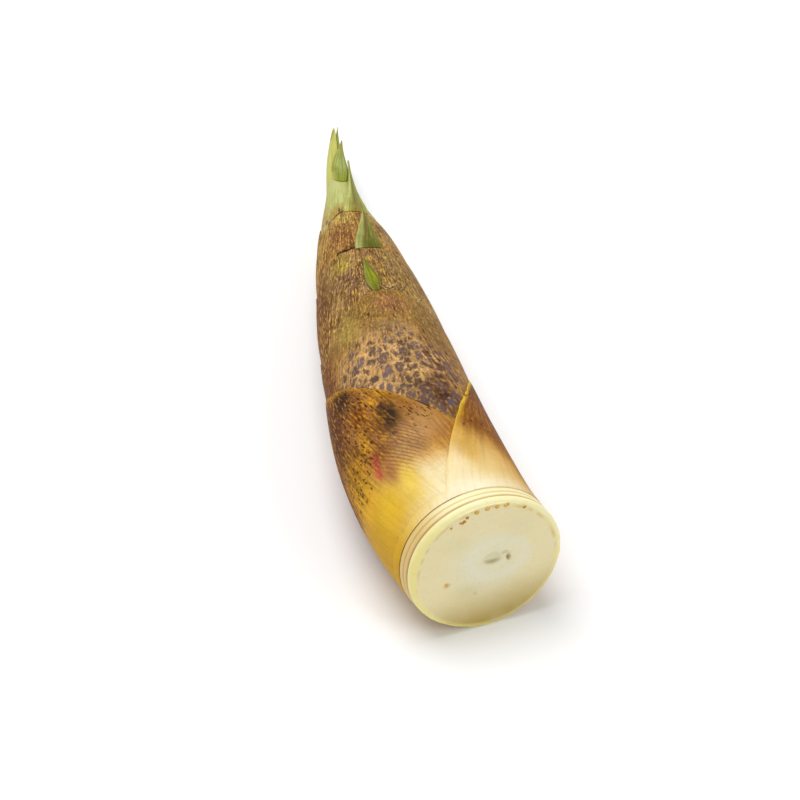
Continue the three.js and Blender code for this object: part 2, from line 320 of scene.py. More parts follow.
make_camera()
print("camera height, m:", CAMERA_PLACE[2])

# %% Floor and lights
FLOOR_HALF, FLOOR_WHITE, FLOOR_ROUGHNESS = 6.0, 0.94, 0.8
SKY_STRENGTH = 0.50
SKY_COLOUR = (0.97, 0.98, 1.0)
LIGHTS = [  # name, place, size, watts
    ("overhead", (-0.25, 0.25, 1.3), 1.1, 14.0),
    ("window", (0.9, -0.9, 1.0), 0.8, 3.6),
]
LIGHT_AIM = Vector((0.0, 0.0, 0.02))


def new_material(name):
    """A material with its node tree and its Principled shader."""
    material = bpy.data.materials.new(name)
    material.use_nodes = True
    return material, material.node_tree, material.node_tree.nodes["Principled BSDF"]


def make_floor():
    corners = [(-FLOOR_HALF, -FLOOR_HALF, 0), (FLOOR_HALF, -FLOOR_HALF, 0),
               (FLOOR_HALF, FLOOR_HALF, 0), (-FLOOR_HALF, FLOOR_HALF, 0)]
    mesh = bpy.data.meshes.new("floor")
    mesh.from_pydata(corners, [], [(0, 1, 2, 3)])
    floor = put_in_scene("floor", mesh)
    material, _, shader = new_material("pale_floor")
    shader.inputs["Base Color"].default_value = (*[FLOOR_WHITE] * 3, 1)
    shader.inputs["Roughness"].default_value = FLOOR_ROUGHNESS
    mesh.materials.append(material)


def make_light(name, spot, size, watts):
    lamp = bpy.data.lights.new(name, "AREA")
    lamp.shape = "DISK"
    lamp.size = size
    lamp.energy = watts
    aim(put_in_scene(name, lamp), spot, LIGHT_AIM - Vector(spot))


def make_sky():
    world = bpy.data.worlds.new("sky")
    world.use_nodes = True
    background = world.node_tree.nodes["Background"]
    background.inputs["Color"].default_value = (*SKY_COLOUR, 1)
    background.inputs["Strength"].default_value = SKY_STRENGTH
    bpy.context.scene.world = world


make_floor()
make_sky()
for row in LIGHTS:
    make_light(*row)
bpy.context.scene.view_settings.view_transform = "Standard"
print("lights:", [row[0] for row in LIGHTS])

# %% [markdown]
# ## Shader groups
# The same few effects come back on every leaf: streaks along the fibres, clouds, dark blotches, dashes,
# fine lines, a dry edge and a dark line of painted shade where one leaf comes out from under another.
# Each is made once, as a node group with named inputs, and placed in every material with its own
# values. A group gives only masks and heights. The shader itself stays in the material.

# %% A helper for nodes
FLOAT, VECTOR = "NodeSocketFloat", "NodeSocketVector"
GEOMETRY, MATERIAL, WHOLE = "NodeSocketGeometry", "NodeSocketMaterial", "NodeSocketInt"


def add(tree, kind, inputs=None, **settings):
    """Adds a node. Its inputs are plain values, or sockets to link from."""
    made = tree.nodes.new(kind)
    for key, value in settings.items():
        setattr(made, key, value)
    for key, value in (inputs or {}).items():
        if isinstance(value, bpy.types.NodeSocket):
            tree.links.new(value, made.inputs[key])
        else:
            made.inputs[key].default_value = value
    return made


def figure(tree, operation, a, b=0.0):
    """One sum on two numbers."""
    return add(tree, "ShaderNodeMath", {0: a, 1: b}, operation=operation).outputs[0]


def scaled(tree, vector, amount):
    """A vector made so many times as long."""
    return add(tree, "ShaderNodeVectorMath", {0: vector, "Scale": amount}, operation="SCALE").outputs[0]


def joined(tree, a, b, operation="ADD"):
    """One sum on two vectors."""
    return add(tree, "ShaderNodeVectorMath", {0: a, 1: b}, operation=operation).outputs[0]


def noise(tree, spot, scale=1.0, detail=3.0, **more):
    """The outputs of a noise: its value, and its colour for three values at once."""
    return add(tree, "ShaderNodeTexNoise", {"Vector": spot, "Scale": scale, "Detail": detail, **more}).outputs


def attribute(tree, name, output):
    """Reads a value that every point of a leaf keeps, in a material."""
    return add(tree, "ShaderNodeAttribute", attribute_name=name).outputs[output]


def blend(tree, mask, a, b):
    """Colour a where the mask is 0, colour b where it is 1."""
    made = add(tree, "ShaderNodeMix", {0: mask, 6: a, 7: b}, data_type="RGBA")
    return made.outputs[2]


def new_group(name, kind, inputs, outputs):
    """An empty node group with named inputs (name, type, value) and outputs (name, type)."""
    tree = bpy.data.node_groups.new(name, kind)
    for label, socket_type, value in inputs:
        made = tree.interface.new_socket(name=label, in_out="INPUT", socket_type=socket_type)
        if value is not None:
            made.default_value = value
    for label, socket_type in outputs:
        tree.interface.new_socket(name=label, in_out="OUTPUT", socket_type=socket_type)
    return tree, tree.nodes.new("NodeGroupInput").outputs, tree.nodes.new("NodeGroupOutput").inputs


def stretched(tree, grain, across, along):
    """The grain scaled by so many repeats per centimetre across and along the fibres."""
    scale = add(tree, "ShaderNodeCombineXYZ", {0: across, 1: across, 2: along}).outputs[0]
    return joined(tree, grain, scale, "MULTIPLY")


def contrast(tree, value, low, high):
    """Spreads low..high over 0..1, with a smooth start and end."""
    made = add(tree, "ShaderNodeMapRange", {0: value, 1: low, 2: high}, interpolation_type="SMOOTHSTEP")
    return made.outputs[0]

# %% Streaks along the fibres
STREAKS_DARK, STREAKS_LIGHT = (0.44, 0.64), (0.5, 0.66)  # where a streak starts in its noise, and is full
FLECK_SCALE, FLECK_HEIGHT = 1.2, 0.6


def make_streaks_group():
    tree, given, result = new_group(
        "fibre streaks", "ShaderNodeTree",
        [("Grain", VECTOR, None), ("Across", FLOAT, 8.0), ("Along", FLOAT, 0.5), ("Fleck", FLOAT, 4.0)],
        [("Dark", FLOAT), ("Light", FLOAT), ("Height", FLOAT)],
    )
    long = noise(tree, stretched(tree, given["Grain"], given["Across"], given["Along"]))[0]
    # The light flecks are shorter, so their grain has more repeats along the fibres.
    closer = figure(tree, "MULTIPLY", given["Along"], given["Fleck"])
    short = noise(tree, stretched(tree, given["Grain"], given["Across"], closer), FLECK_SCALE, 2.0)[0]
    tree.links.new(contrast(tree, long, *STREAKS_DARK), result["Dark"])
    tree.links.new(contrast(tree, short, *STREAKS_LIGHT), result["Light"])
    raised = figure(tree, "MULTIPLY", short, FLECK_HEIGHT)
    tree.links.new(figure(tree, "ADD", long, raised), result["Height"])
    return tree


STREAKS = make_streaks_group()
print(STREAKS.name, "has", len(STREAKS.nodes), "nodes")

# %% Clouds, broad and fine
CLOUD_RANGE, SPECKLE_RANGE = (0.4, 0.64), (0.42, 0.62)
COARSE = 0.6  # the roughness of a noise whose small detail stands out


def make_clouds_group():
    tree, given, result = new_group(
        "clouds", "ShaderNodeTree",
        [("Grain", VECTOR, None), ("Per cm", FLOAT, 1.1), ("Speckle per cm", FLOAT, 9.0)],
        [("Cloud", FLOAT), ("Speckle", FLOAT)],
    )
    broad = noise(tree, given["Grain"], given["Per cm"])[0]
    fine = noise(tree, given["Grain"], given["Speckle per cm"], Roughness=COARSE)[0]
    tree.links.new(contrast(tree, broad, *CLOUD_RANGE), result["Cloud"])
    tree.links.new(contrast(tree, fine, *SPECKLE_RANGE), result["Speckle"])
    return tree


CLOUDS = make_clouds_group()
print(CLOUDS.name, "has", len(CLOUDS.nodes), "nodes")

# %% Blotches, each a cell with a light line round it
TEAR_ACROSS, TEAR_ALONG = 3.2, 1.6  # threads of the torn edge to one cell
MERGE_SCALE, EATEN, SWOLLEN = 0.7, 0.34, 0.5
LIGHT_LINE, LINE_CLOSES, LINE_VARIES = 0.3, 0.3, 0.1  # in cells: its width, and how that changes
LINE_INSIDE, LINE_OUTSIDE = 0.08, 0.13
BLOTCHES_SHOW = (0.04, 0.2)


def make_blotches_group():
    tree, given, result = new_group(
        "cell blotches", "ShaderNodeTree",
        [("Grain", VECTOR, None), ("Per cm", FLOAT, 2.6), ("Stretch", FLOAT, 2.0),
         ("Amount", FLOAT, 0.5), ("Raggedness", FLOAT, 0.5)],
        [("Mask", FLOAT), ("Shade", FLOAT)],
    )
    lengthwise = figure(tree, "DIVIDE", given["Per cm"], given["Stretch"])
    cells = stretched(tree, given["Grain"], given["Per cm"], lengthwise)
    closer = figure(tree, "MULTIPLY", given["Per cm"], TEAR_ACROSS)
    threads = stretched(tree, given["Grain"], closer, figure(tree, "MULTIPLY", lengthwise, TEAR_ALONG))
    tear = noise(tree, threads, Roughness=COARSE)
    shift = scaled(tree, joined(tree, tear["Color"], (0.5, 0.5, 0.5), "SUBTRACT"), given["Raggedness"])
    torn = joined(tree, cells, shift)
    border = add(tree, "ShaderNodeTexVoronoi", {"Vector": torn, "Scale": 1.0}, feature="DISTANCE_TO_EDGE")
    cell = add(tree, "ShaderNodeTexVoronoi", {"Vector": torn, "Scale": 1.0})
    drawn = add(tree, "ShaderNodeSeparateColor", {0: cell.outputs["Color"]})
    # Two noises let some cells run together and eat others away.
    merge = noise(tree, cells, MERGE_SCALE, 1.0)[0]
    eaten = figure(tree, "MULTIPLY", figure(tree, "SUBTRACT", tear[0], 0.5), EATEN)
    swollen = figure(tree, "MULTIPLY", figure(tree, "SUBTRACT", merge, 0.5), SWOLLEN)
    inside = figure(tree, "ADD", border.outputs["Distance"], figure(tree, "ADD", eaten, swollen))
    # The more blotches there are, the narrower the light lines between them.
    line = figure(tree, "SUBTRACT", LIGHT_LINE, figure(tree, "MULTIPLY", given["Amount"], LINE_CLOSES))
    line = figure(tree, "ADD", line, figure(tree, "MULTIPLY", drawn.outputs[0], LINE_VARIES))
    low = figure(tree, "SUBTRACT", line, LINE_INSIDE)
    high = figure(tree, "ADD", line, LINE_OUTSIDE)
    shown = contrast(tree, given["Amount"], *BLOTCHES_SHOW)
    tree.links.new(figure(tree, "MULTIPLY", contrast(tree, inside, low, high), shown), result["Mask"])
    tree.links.new(drawn.outputs[1], result["Shade"])
    return tree


BLOTCHES = make_blotches_group()
print(BLOTCHES.name, "has", len(BLOTCHES.nodes), "nodes")

# %% Dashes, and fine lines that run side by side
DASH_BEND_SCALE, DASH_BEND = 1.7, 0.7
DASHES_SHOW = (0.0, 0.25)
DASH_LEAST, DASH_MORE, DASH_CORE = 0.32, 0.3, 0.4  # in cells, the core as a share of the dash
LINES_CALM_ACROSS, LINES_CALM_ALONG = 1.5, 0.8  # per cm, the slow noise that bends the lines
LINE_RANGE = (-0.3, 0.8)


def make_dashes_group():
    tree, given, result = new_group(
        "dashes", "ShaderNodeTree",
        [("Grain", VECTOR, None), ("Per cm", FLOAT, 7.0), ("Stretch", FLOAT, 2.0), ("Amount", FLOAT, 0.3)],
        [("Mask", FLOAT)],
    )
    lengthwise = figure(tree, "DIVIDE", given["Per cm"], given["Stretch"])
    cells = stretched(tree, given["Grain"], given["Per cm"], lengthwise)
    waver = noise(tree, cells, DASH_BEND_SCALE, 1.0)["Color"]
    moved = joined(tree, cells, scaled(tree, waver, DASH_BEND))
    dots = add(tree, "ShaderNodeTexVoronoi", {"Vector": moved, "Scale": 1.0})
    drawn = add(tree, "ShaderNodeSeparateColor", {0: dots.outputs["Color"]})
    chosen = contrast(tree, figure(tree, "SUBTRACT", given["Amount"], drawn.outputs[0]), *DASHES_SHOW)
    # Each dash has a size of its own.
    reach = figure(tree, "ADD", DASH_LEAST, figure(tree, "MULTIPLY", drawn.outputs[1], DASH_MORE))
    core = figure(tree, "MULTIPLY", reach, DASH_CORE)
    dot = figure(tree, "SUBTRACT", 1.0, contrast(tree, dots.outputs["Distance"], core, reach))
    tree.links.new(figure(tree, "MULTIPLY", dot, chosen), result["Mask"])
    return tree


def make_lines_group():
    tree, given, result = new_group(
        "fine lines", "ShaderNodeTree",
        [("Grain", VECTOR, None), ("Lines round", FLOAT, 100.0), ("Slant", FLOAT, 0.0),
         ("Wander", FLOAT, 4.0)],
        [("Mask", FLOAT)],
    )
    part = add(tree, "ShaderNodeSeparateXYZ", {0: given["Grain"]})
    turn = figure(tree, "ARCTAN2", part.outputs[1], part.outputs[0])
    wander = noise(tree, stretched(tree, given["Grain"], LINES_CALM_ACROSS, LINES_CALM_ALONG))[0]
    shift = figure(tree, "MULTIPLY", wander, given["Wander"])
    slant = figure(tree, "MULTIPLY", part.outputs[2], given["Slant"])
    lines_round = figure(tree, "MULTIPLY", turn, given["Lines round"])
    phase = figure(tree, "ADD", lines_round, figure(tree, "ADD", shift, slant))
    tree.links.new(contrast(tree, figure(tree, "SINE", phase), *LINE_RANGE), result["Mask"])
    return tree


DASHES = make_dashes_group()
FINE_LINES = make_lines_group()
print("nodes of the dashes:", len(DASHES.nodes), "and of the fine lines:", len(FINE_LINES.nodes))

# %% A dry margin
MARGIN_ACROSS, MARGIN_ALONG = 6.0, 1.5  # per cm, the noise that makes its border wander


def make_margin_group():
    tree, given, result = new_group(
        "dry margin", "ShaderNodeTree",
        [("Grain", VECTOR, None), ("Below", FLOAT, 0.0), ("Width", FLOAT, 2.0)],
        [("Mask", FLOAT)],
    )
    wander = noise(tree, stretched(tree, given["Grain"], MARGIN_ACROSS, MARGIN_ALONG), detail=2.0)[0]
    shift = figure(tree, "MULTIPLY", figure(tree, "SUBTRACT", wander, 0.5), given["Width"])
    reach = contrast(tree, figure(tree, "ADD", given["Below"], shift), 0.0, given["Width"])
    tree.links.new(figure(tree, "SUBTRACT", 1.0, reach), result["Mask"])
    return tree


DRY_MARGIN = make_margin_group()
print(DRY_MARGIN.name, "has", len(DRY_MARGIN.nodes), "nodes")

# %% Painted shade: a dark line where one leaf comes out from under another
CREVICE_SHADE_PER_CM, CREVICE_SHADE_WANDER = 5.0, 0.8
CREVICE_SHADE_RANGE = (0.9, 1.6)  # in widths of the painted shade line


def make_crevice_shade_group():
    tree, given, result = new_group(
        "crack", "ShaderNodeTree", [("Grain", VECTOR, None), ("Beyond", FLOAT, 9.0)], [("Mask", FLOAT)],
    )
    wander = noise(tree, stretched(tree, given["Grain"], CREVICE_SHADE_PER_CM, CREVICE_SHADE_PER_CM))[0]
    beyond = figure(tree, "ADD", given["Beyond"], figure(tree, "MULTIPLY", wander, CREVICE_SHADE_WANDER))
    tree.links.new(figure(tree, "SUBTRACT", 1.0, contrast(tree, beyond, *CREVICE_SHADE_RANGE)), result["Mask"])
    return tree


CREVICE_SHADE = make_crevice_shade_group()
print(CREVICE_SHADE.name, "has", len(CREVICE_SHADE.nodes), "nodes")

# %% [markdown]
# ## Leaf materials
# One recipe finishes every leaf: the broad colour comes from the `wash` painted on the points, and
# the groups lay clouds, streaks, blotches, fine lines, the dry edge, dashes and the dark line of painted
# shade over it, in this order. Only the numbers differ between an old brown sheath, a tender young leaf
# and a green blade, so a function builds the material from a row of values. A bump from the same
# streaks makes them felt as well as seen.

# %% Colours
def colour(code):
    """A linear colour from the six-digit code that a colour picker shows."""
    srgb = np.array([int(code[i:i + 2], 16) for i in (0, 2, 4)]) / 255
    return np.where(srgb <= 0.04045, srgb / 12.92, ((srgb + 0.055) / 1.055) ** 2.4)


def paint(code):
    return (*colour(code), 1.0)


print("a brown as linear light:", colour("8A5422").round(3))

# %% The recipe for a leaf
LEAF_DEFAULTS = {
    "streaks": (10.0, 0.5, 5.0),  # per cm across and along the fibres, and how much shorter the flecks are
    "dark": ("5A3216", 0.5), "light": ("D8A044", 0.45),  # streak colours and their strength
    "cloud": ("5E3C1C", 0.35), "speckle": ("4A2E16", 0.3),
    "blotches": (3.0, 1.7, 0.7),  # per cm, stretch, raggedness
    "blotch_tints": ("665052", "46343A"), "blotch_strength": 0.85,
    "dashes": (7.0, 2.6), "dash": ("3A1E0C", 0.85),
    "lines": (100.0, 0.0), "line": ("6E4430", 0.6),  # how many round the shoot, and their slant
    "margin": ("B08C46", 1.2, 0.35),  # tint, width in mm, strength
    "roughness": 0.55, "specular": 0.03,
    "bump": 0.4, "bump_depth": 0.00014,
}
# Painted shade: the near-black tint, and its strength, of the line beyond the edge of a covering leaf.
CREVICE_SHADE_TINT, CREVICE_SHADE_STRENGTH = "1E1006", 0.9
BLOTCH_WORN, BLOTCH_DULL = 0.35, 0.12  # how much light flecks wear a blotch away, and it roughens the leaf
LEAST_DRY = 0.1  # how dry the margin is where the leaf has not aged


def place_group(tree, group, grain, **values):
    made = add(tree, "ShaderNodeGroup", {}, node_tree=group)
    tree.links.new(grain, made.inputs["Grain"])
    for key, value in values.items():
        label = key.replace("_", " ")
        if isinstance(value, bpy.types.NodeSocket):
            tree.links.new(value, made.inputs[label])
        else:
            made.inputs[label].default_value = value
    return made.outputs


def leaf_material(name, **changes):
    look = {**LEAF_DEFAULTS, **changes}
    material, tree, shader = new_material(name)
    grain, marks = (attribute(tree, key, "Vector") for key in ("grain", "marks"))
    below, aged, beyond = (attribute(tree, key, "Fac") for key in ("below", "aged", "beyond"))
    blotched, dashed, lined = add(tree, "ShaderNodeSeparateXYZ", {0: marks}).outputs[:]

    across, along, fleck = look["streaks"]
    streaks = place_group(tree, STREAKS, grain, Across=across, Along=along, Fleck=fleck)
    per_cm, stretch, ragged = look["blotches"]
    blotches = place_group(
        tree, BLOTCHES, grain, Per_cm=per_cm, Stretch=stretch, Amount=blotched, Raggedness=ragged,
    )
    per_cm, stretch = look["dashes"]
    dashes = place_group(tree, DASHES, grain, Per_cm=per_cm, Stretch=stretch, Amount=dashed)
    count, slant = look["lines"]
    lines = place_group(tree, FINE_LINES, grain, Lines_round=count, Slant=slant)
    clouds = place_group(tree, CLOUDS, grain)
    crack = place_group(tree, CREVICE_SHADE, grain, Beyond=beyond)
    margin_tint, margin_width, margin_strength = look["margin"]
    margin = place_group(tree, DRY_MARGIN, grain, Below=below, Width=margin_width)

    def lay(tone, mask, strength, tint):
        """Lays a tint over the tone. strength is a number or a socket."""
        return blend(tree, figure(tree, "MULTIPLY", mask, strength), tone, tint)

    tone = attribute(tree, "wash", "Color")
    for key, mask in [("cloud", clouds["Cloud"]), ("speckle", clouds["Speckle"]),
                      ("light", streaks["Light"]), ("dark", streaks["Dark"])]:
        tint, strength = look[key]
        tone = lay(tone, mask, figure(tree, "MULTIPLY", aged, strength), paint(tint))
    paler, darker = look["blotch_tints"]
    blotch_tint = blend(tree, blotches["Shade"], paint(paler), paint(darker))
    wear = figure(tree, "MULTIPLY", streaks["Light"], BLOTCH_WORN)
    tone = lay(tone, blotches["Mask"], figure(tree, "SUBTRACT", look["blotch_strength"], wear), blotch_tint)
    line_tint, line_strength = look["line"]
    tone = lay(tone, lines["Mask"], figure(tree, "MULTIPLY", lined, line_strength), paint(line_tint))
    dry = figure(tree, "MULTIPLY", figure(tree, "ADD", aged, LEAST_DRY), margin_strength)
    tone = lay(tone, margin["Mask"], dry, paint(margin_tint))
    dash_tint, dash_strength = look["dash"]
    tone = lay(tone, dashes["Mask"], dash_strength, paint(dash_tint))
    # Last comes painted shade: a dark line just beyond the edge of a covering leaf.
    tone = lay(tone, crack["Mask"], CREVICE_SHADE_STRENGTH, paint(CREVICE_SHADE_TINT))
    tree.links.new(tone, shader.inputs["Base Color"])

    dull = figure(tree, "MULTIPLY", blotches["Mask"], BLOTCH_DULL)
    tree.links.new(figure(tree, "ADD", look["roughness"], dull), shader.inputs["Roughness"])
    shader.inputs["Specular IOR Level"].default_value = look["specular"]
    bump = add(tree, "ShaderNodeBump", {"Strength": look["bump"], "Distance": look["bump_depth"]})
    tree.links.new(streaks["Height"], bump.inputs["Height"])
    tree.links.new(bump.outputs["Normal"], shader.inputs["Normal"])
    return material


print("values of a leaf material:", ", ".join(LEAF_DEFAULTS))

# %% Six finishes from one recipe
FINISHES = {
    "first_sheath": leaf_material(
        "first_sheath", dark=("5E2C0A", 0.5), light=("E0A02C", 0.4), cloud=("6E3A0C", 0.35),
        speckle=("5A3010", 0.25), margin=("E6BE38", 3.8, 0.8), lines=(104.0, -19.0), line=("6E4430", 0.5),
        dashes=(9.0, 2.2), specular=0.04,
    ),
    "second_sheath": leaf_material(
        "second_sheath", dark=("4E2206", 0.6), light=("E4A626", 0.55), cloud=("5E2E08", 0.45),
        speckle=("4A260C", 0.4), margin=("CC9426", 4.0, 0.42), lines=(104.0, -19.0), line=("6E4430", 0.5),
        blotch_tints=("43362C", "2C1D12"), dashes=(9.0, 2.2), specular=0.04,
    ),
    "brown_sheath": leaf_material(
        "brown_sheath", dark=("5A3216", 0.32), light=("E4AE58", 0.45), speckle=("4A3018", 0.45),
        cloud=("5E4020", 0.45), streaks=(10.0, 0.7, 6.0), blotch_tints=("60525A", "3A2A26"),
    ),
    "upper_sheath": leaf_material(
        "upper_sheath", blotches=(4.6, 1.8, 0.8), blotch_strength=0.65, dark=("4A220A", 0.58),
        light=("EABC56", 0.75), streaks=(12.0, 0.6, 6.0), speckle=("3A2212", 0.6),
        dash=("3A2014", 0.6), cloud=("5A3414", 0.6),
    ),
    "young_leaf": leaf_material(
        "young_leaf", streaks=(12.0, 0.4, 3.0), dark=("8A8A30", 0.5), light=("DDD980", 0.4),
        cloud=("A0A040", 0.3), speckle=("8E9038", 0.15), dash=("8A5A1A", 0.6),
        margin=("D2C65C", 0.8, 0.5), roughness=0.45, specular=0.08,
    ),
    "green_blade": leaf_material(
        "green_blade", streaks=(14.0, 0.35, 3.0), dark=("4E5610", 0.6), light=("A8AA50", 0.4),
        cloud=("54520E", 0.35), speckle=("54521A", 0.2), dash=("6A4A1C", 0.6),
        margin=("A8A850", 0.4, 0.3), roughness=0.45, specular=0.08, bump=0.5,
    ),
}
print("leaf finishes:", ", ".join(FINISHES))

# %% [markdown]
# ## Flesh
# The cut flesh is moist and nearly even. Its colour is painted on the points too, from the pale green
# middle to the olive lower edge, which is darkened with painted shade as well. Over that go the ends of
# the fibre bundles, as faint freckles that run straight along the stem, and a fine unevenness left by
# the knife.

# %% The flesh material
FLESH_ROUGHNESS, MARKED_ROUGHNESS = 0.38, 0.15
BUNDLES_PER_METRE, BUNDLE_RANGE, BUNDLE_TINT, BUNDLE_STRENGTH = 620.0, (0.1, 0.32), "B9A765", 0.14
PALE_PER_METRE, PALE_RANGE, PALE_TINT, PALE_STRENGTH = 90.0, (0.35, 0.7), "F1EBC9", 0.15
KNIFE_MARKS_PER_METRE, KNIFE_BUMP, KNIFE_DEPTH = 260.0, 0.3, 0.00015


def flesh_material():
    material, tree, shader = new_material("flesh")
    spot = add(tree, "ShaderNodeTexCoord").outputs["Object"]
    bundles = add(tree, "ShaderNodeTexVoronoi", {"Vector": spot, "Scale": BUNDLES_PER_METRE})
    dots = figure(tree, "SUBTRACT", 1.0, contrast(tree, bundles.outputs["Distance"], *BUNDLE_RANGE))
    pale = contrast(tree, noise(tree, spot, PALE_PER_METRE)[0], *PALE_RANGE)
    tone = attribute(tree, "wash", "Color")
    tone = blend(tree, figure(tree, "MULTIPLY", dots, BUNDLE_STRENGTH), tone, paint(BUNDLE_TINT))
    tone = blend(tree, figure(tree, "MULTIPLY", pale, PALE_STRENGTH), tone, paint(PALE_TINT))
    tree.links.new(tone, shader.inputs["Base Color"])
    marks = noise(tree, spot, KNIFE_MARKS_PER_METRE, 4.0)[0]
    rough = figure(tree, "ADD", FLESH_ROUGHNESS, figure(tree, "MULTIPLY", marks, MARKED_ROUGHNESS))
    tree.links.new(rough, shader.inputs["Roughness"])
    bump = add(tree, "ShaderNodeBump", {"Strength": KNIFE_BUMP, "Distance": KNIFE_DEPTH, "Height": marks})
    tree.links.new(bump.outputs["Normal"], shader.inputs["Normal"])
    return material


FINISHES["flesh"] = flesh_material()
print("flesh: bundles per metre", BUNDLES_PER_METRE)

# %% Two-tone finishes for small things
CHANGES_PER_METRE, CHANGE_RANGE, DULL_SHINE = 400.0, (0.35, 0.65), 0.1
TWO_TONE = [  # name, one colour, the other, roughness
    ("dry_fibre", "B88A4E", "5E3A1C", 0.6),
    ("frayed_fibre", "E2C890", "3A200C", 0.6),
    ("down", "C9A56A", "8A5F34", 0.7),
    ("root_scar", "DDB45A", "B8842C", 0.55),
]


def two_tone_material(name, code, other, roughness):
    """For hairs and scars, which are too small to show more than a change of colour along the shoot."""
    material, tree, shader = new_material(name)
    spot = add(tree, "ShaderNodeTexCoord").outputs["Object"]
    change = noise(tree, spot, CHANGES_PER_METRE, 2.0)[0]
    tone = blend(tree, contrast(tree, change, *CHANGE_RANGE), paint(code), paint(other))
    tree.links.new(tone, shader.inputs["Base Color"])
    shader.inputs["Roughness"].default_value = roughness
    shader.inputs["Specular IOR Level"].default_value = DULL_SHINE
    return material


FINISHES.update({row[0]: two_tone_material(*row) for row in TWO_TONE})
print("finishes in all:", len(FINISHES))

# %% [markdown]
# ## Geometry Nodes for what repeats on a surface
# Ribs, hairs, bristles and root scars all follow a surface and repeat by a rule, which is what
# Geometry Nodes are for. Placing thousands of hairs by hand would be hopeless, and a hair particle
# system can't leave Blender. Each tree has named inputs and a fixed seed, and ends in Realize
# Instances and Set Material, so that its result is an ordinary mesh.

# %% Running a tree and keeping its result
def run_tree(piece, tree, **values):
    """Puts a tree on a piece, sets its inputs and turns the result into the piece's own mesh."""
    modifier = piece.modifiers.new(tree.name, "NODES")
    modifier.node_group = tree
    for item in tree.interface.items_tree:
        if item.in_out == "INPUT" and item.name in values:
            modifier[item.identifier] = values[item.name]
    evaluated = piece.evaluated_get(bpy.context.evaluated_depsgraph_get())
    mesh = bpy.data.meshes.new_from_object(evaluated)
    piece.modifiers.remove(modifier)
    old = piece.data
    piece.data = mesh
    bpy.data.meshes.remove(old)
    mesh.name = piece.name
    return piece


def close_tree(tree, geometry, material, result):
    """The end of every tree."""
    whole = add(tree, "GeometryNodeRealizeInstances", {0: geometry}).outputs[0]
    finished = add(tree, "GeometryNodeSetMaterial", {"Geometry": whole, "Material": material}).outputs[0]
    tree.links.new(finished, result[0])


def named(tree, key, kind):
    """Reads an attribute of the points."""
    return add(tree, "GeometryNodeInputNamedAttribute", {"Name": key}, data_type=kind).outputs[0]

# %% A tree that raises ribs along the fibres
def make_ribs_tree():
    tree, given, result = new_group(
        "raised ribs", "GeometryNodeTree",
        [("Geometry", GEOMETRY, None), ("Height", FLOAT, 0.0001), ("Across", FLOAT, 3.0),
         ("Along", FLOAT, 0.25), ("Material", MATERIAL, None)],
        [("Geometry", GEOMETRY)],
    )
    grain = stretched(tree, named(tree, "grain", "FLOAT_VECTOR"), given["Across"], given["Along"])
    rib = noise(tree, grain, detail=2.0)[0]
    lift = figure(tree, "MULTIPLY", figure(tree, "SUBTRACT", rib, 0.5), given["Height"])
    lift = figure(tree, "MULTIPLY", lift, named(tree, "outside", "FLOAT"))
    offset = scaled(tree, add(tree, "GeometryNodeInputNormal").outputs[0], lift)
    moved = add(tree, "GeometryNodeSetPosition", {"Geometry": given["Geometry"], "Offset": offset})
    close_tree(tree, moved.outputs[0], given["Material"], result)
    return tree


RIBS = make_ribs_tree()
print(RIBS.name, "has", len(RIBS.nodes), "nodes")

# %% A tree that stands fibres on a surface
SHORTEST, FIBRE_SEED = 0.45, 7  # the shortest fibre as a share of the longest
FIBRE_SIDES = 3


def random_size(tree, least, seed):
    """A random share from the least to 1 for every instance."""
    made = add(tree, "FunctionNodeRandomValue", {2: least, 3: 1.0, "Seed": seed}, data_type="FLOAT")
    return made.outputs[1]


def make_fibres_tree():
    tree, given, result = new_group(
        "fibres", "GeometryNodeTree",
        [("Geometry", GEOMETRY, None), ("Density", FLOAT, 0.0), ("Length", FLOAT, 0.002),
         ("Thickness", FLOAT, 0.0001), ("Rise", FLOAT, 0.3), ("Spread", FLOAT, 0.3),
         ("Seed", WHOLE, 1), ("Material", MATERIAL, None)],
        [("Geometry", GEOMETRY)],
    )
    hairy = named(tree, "hairy", "FLOAT")
    density = figure(tree, "MULTIPLY", given["Density"], hairy)
    scattered = add(
        tree, "GeometryNodeDistributePointsOnFaces",
        {"Mesh": given["Geometry"], "Density": density, "Seed": given["Seed"]},
    )
    # A fibre leans ahead along the leaf and rises a little off it.
    ahead = named(tree, "ahead", "FLOAT_VECTOR")
    towards = joined(tree, ahead, scaled(tree, scattered.outputs["Normal"], given["Rise"]))
    aligned = add(tree, "FunctionNodeAlignRotationToVector", {"Vector": towards}, axis="Z").outputs[0]
    less = figure(tree, "MULTIPLY", given["Spread"], -1.0)
    low, high = (
        add(tree, "ShaderNodeCombineXYZ", dict.fromkeys((0, 1, 2), most)).outputs[0]
        for most in (less, given["Spread"])
    )
    stray = add(
        tree, "FunctionNodeRandomValue", {"Min": low, "Max": high, "Seed": given["Seed"]},
        data_type="FLOAT_VECTOR",
    ).outputs[0]
    turned = add(
        tree, "FunctionNodeRotateRotation",
        {"Rotation": aligned, "Rotate By": add(tree, "FunctionNodeEulerToRotation", {0: stray}).outputs[0]},
    ).outputs[0]
    size = random_size(tree, SHORTEST, FIBRE_SEED)
    fibre = add(tree, "GeometryNodeMeshCone", {
        "Vertices": FIBRE_SIDES, "Radius Top": 0.0, "Radius Bottom": given["Thickness"],
        "Depth": given["Length"],
    }).outputs["Mesh"]
    placed = add(
        tree, "GeometryNodeInstanceOnPoints",
        {"Points": scattered.outputs["Points"], "Instance": fibre, "Rotation": turned, "Scale": size},
    ).outputs[0]
    close_tree(tree, placed, given["Material"], result)
    return tree


FIBRES = make_fibres_tree()
print(FIBRES.name, "has", len(FIBRES.nodes), "nodes")
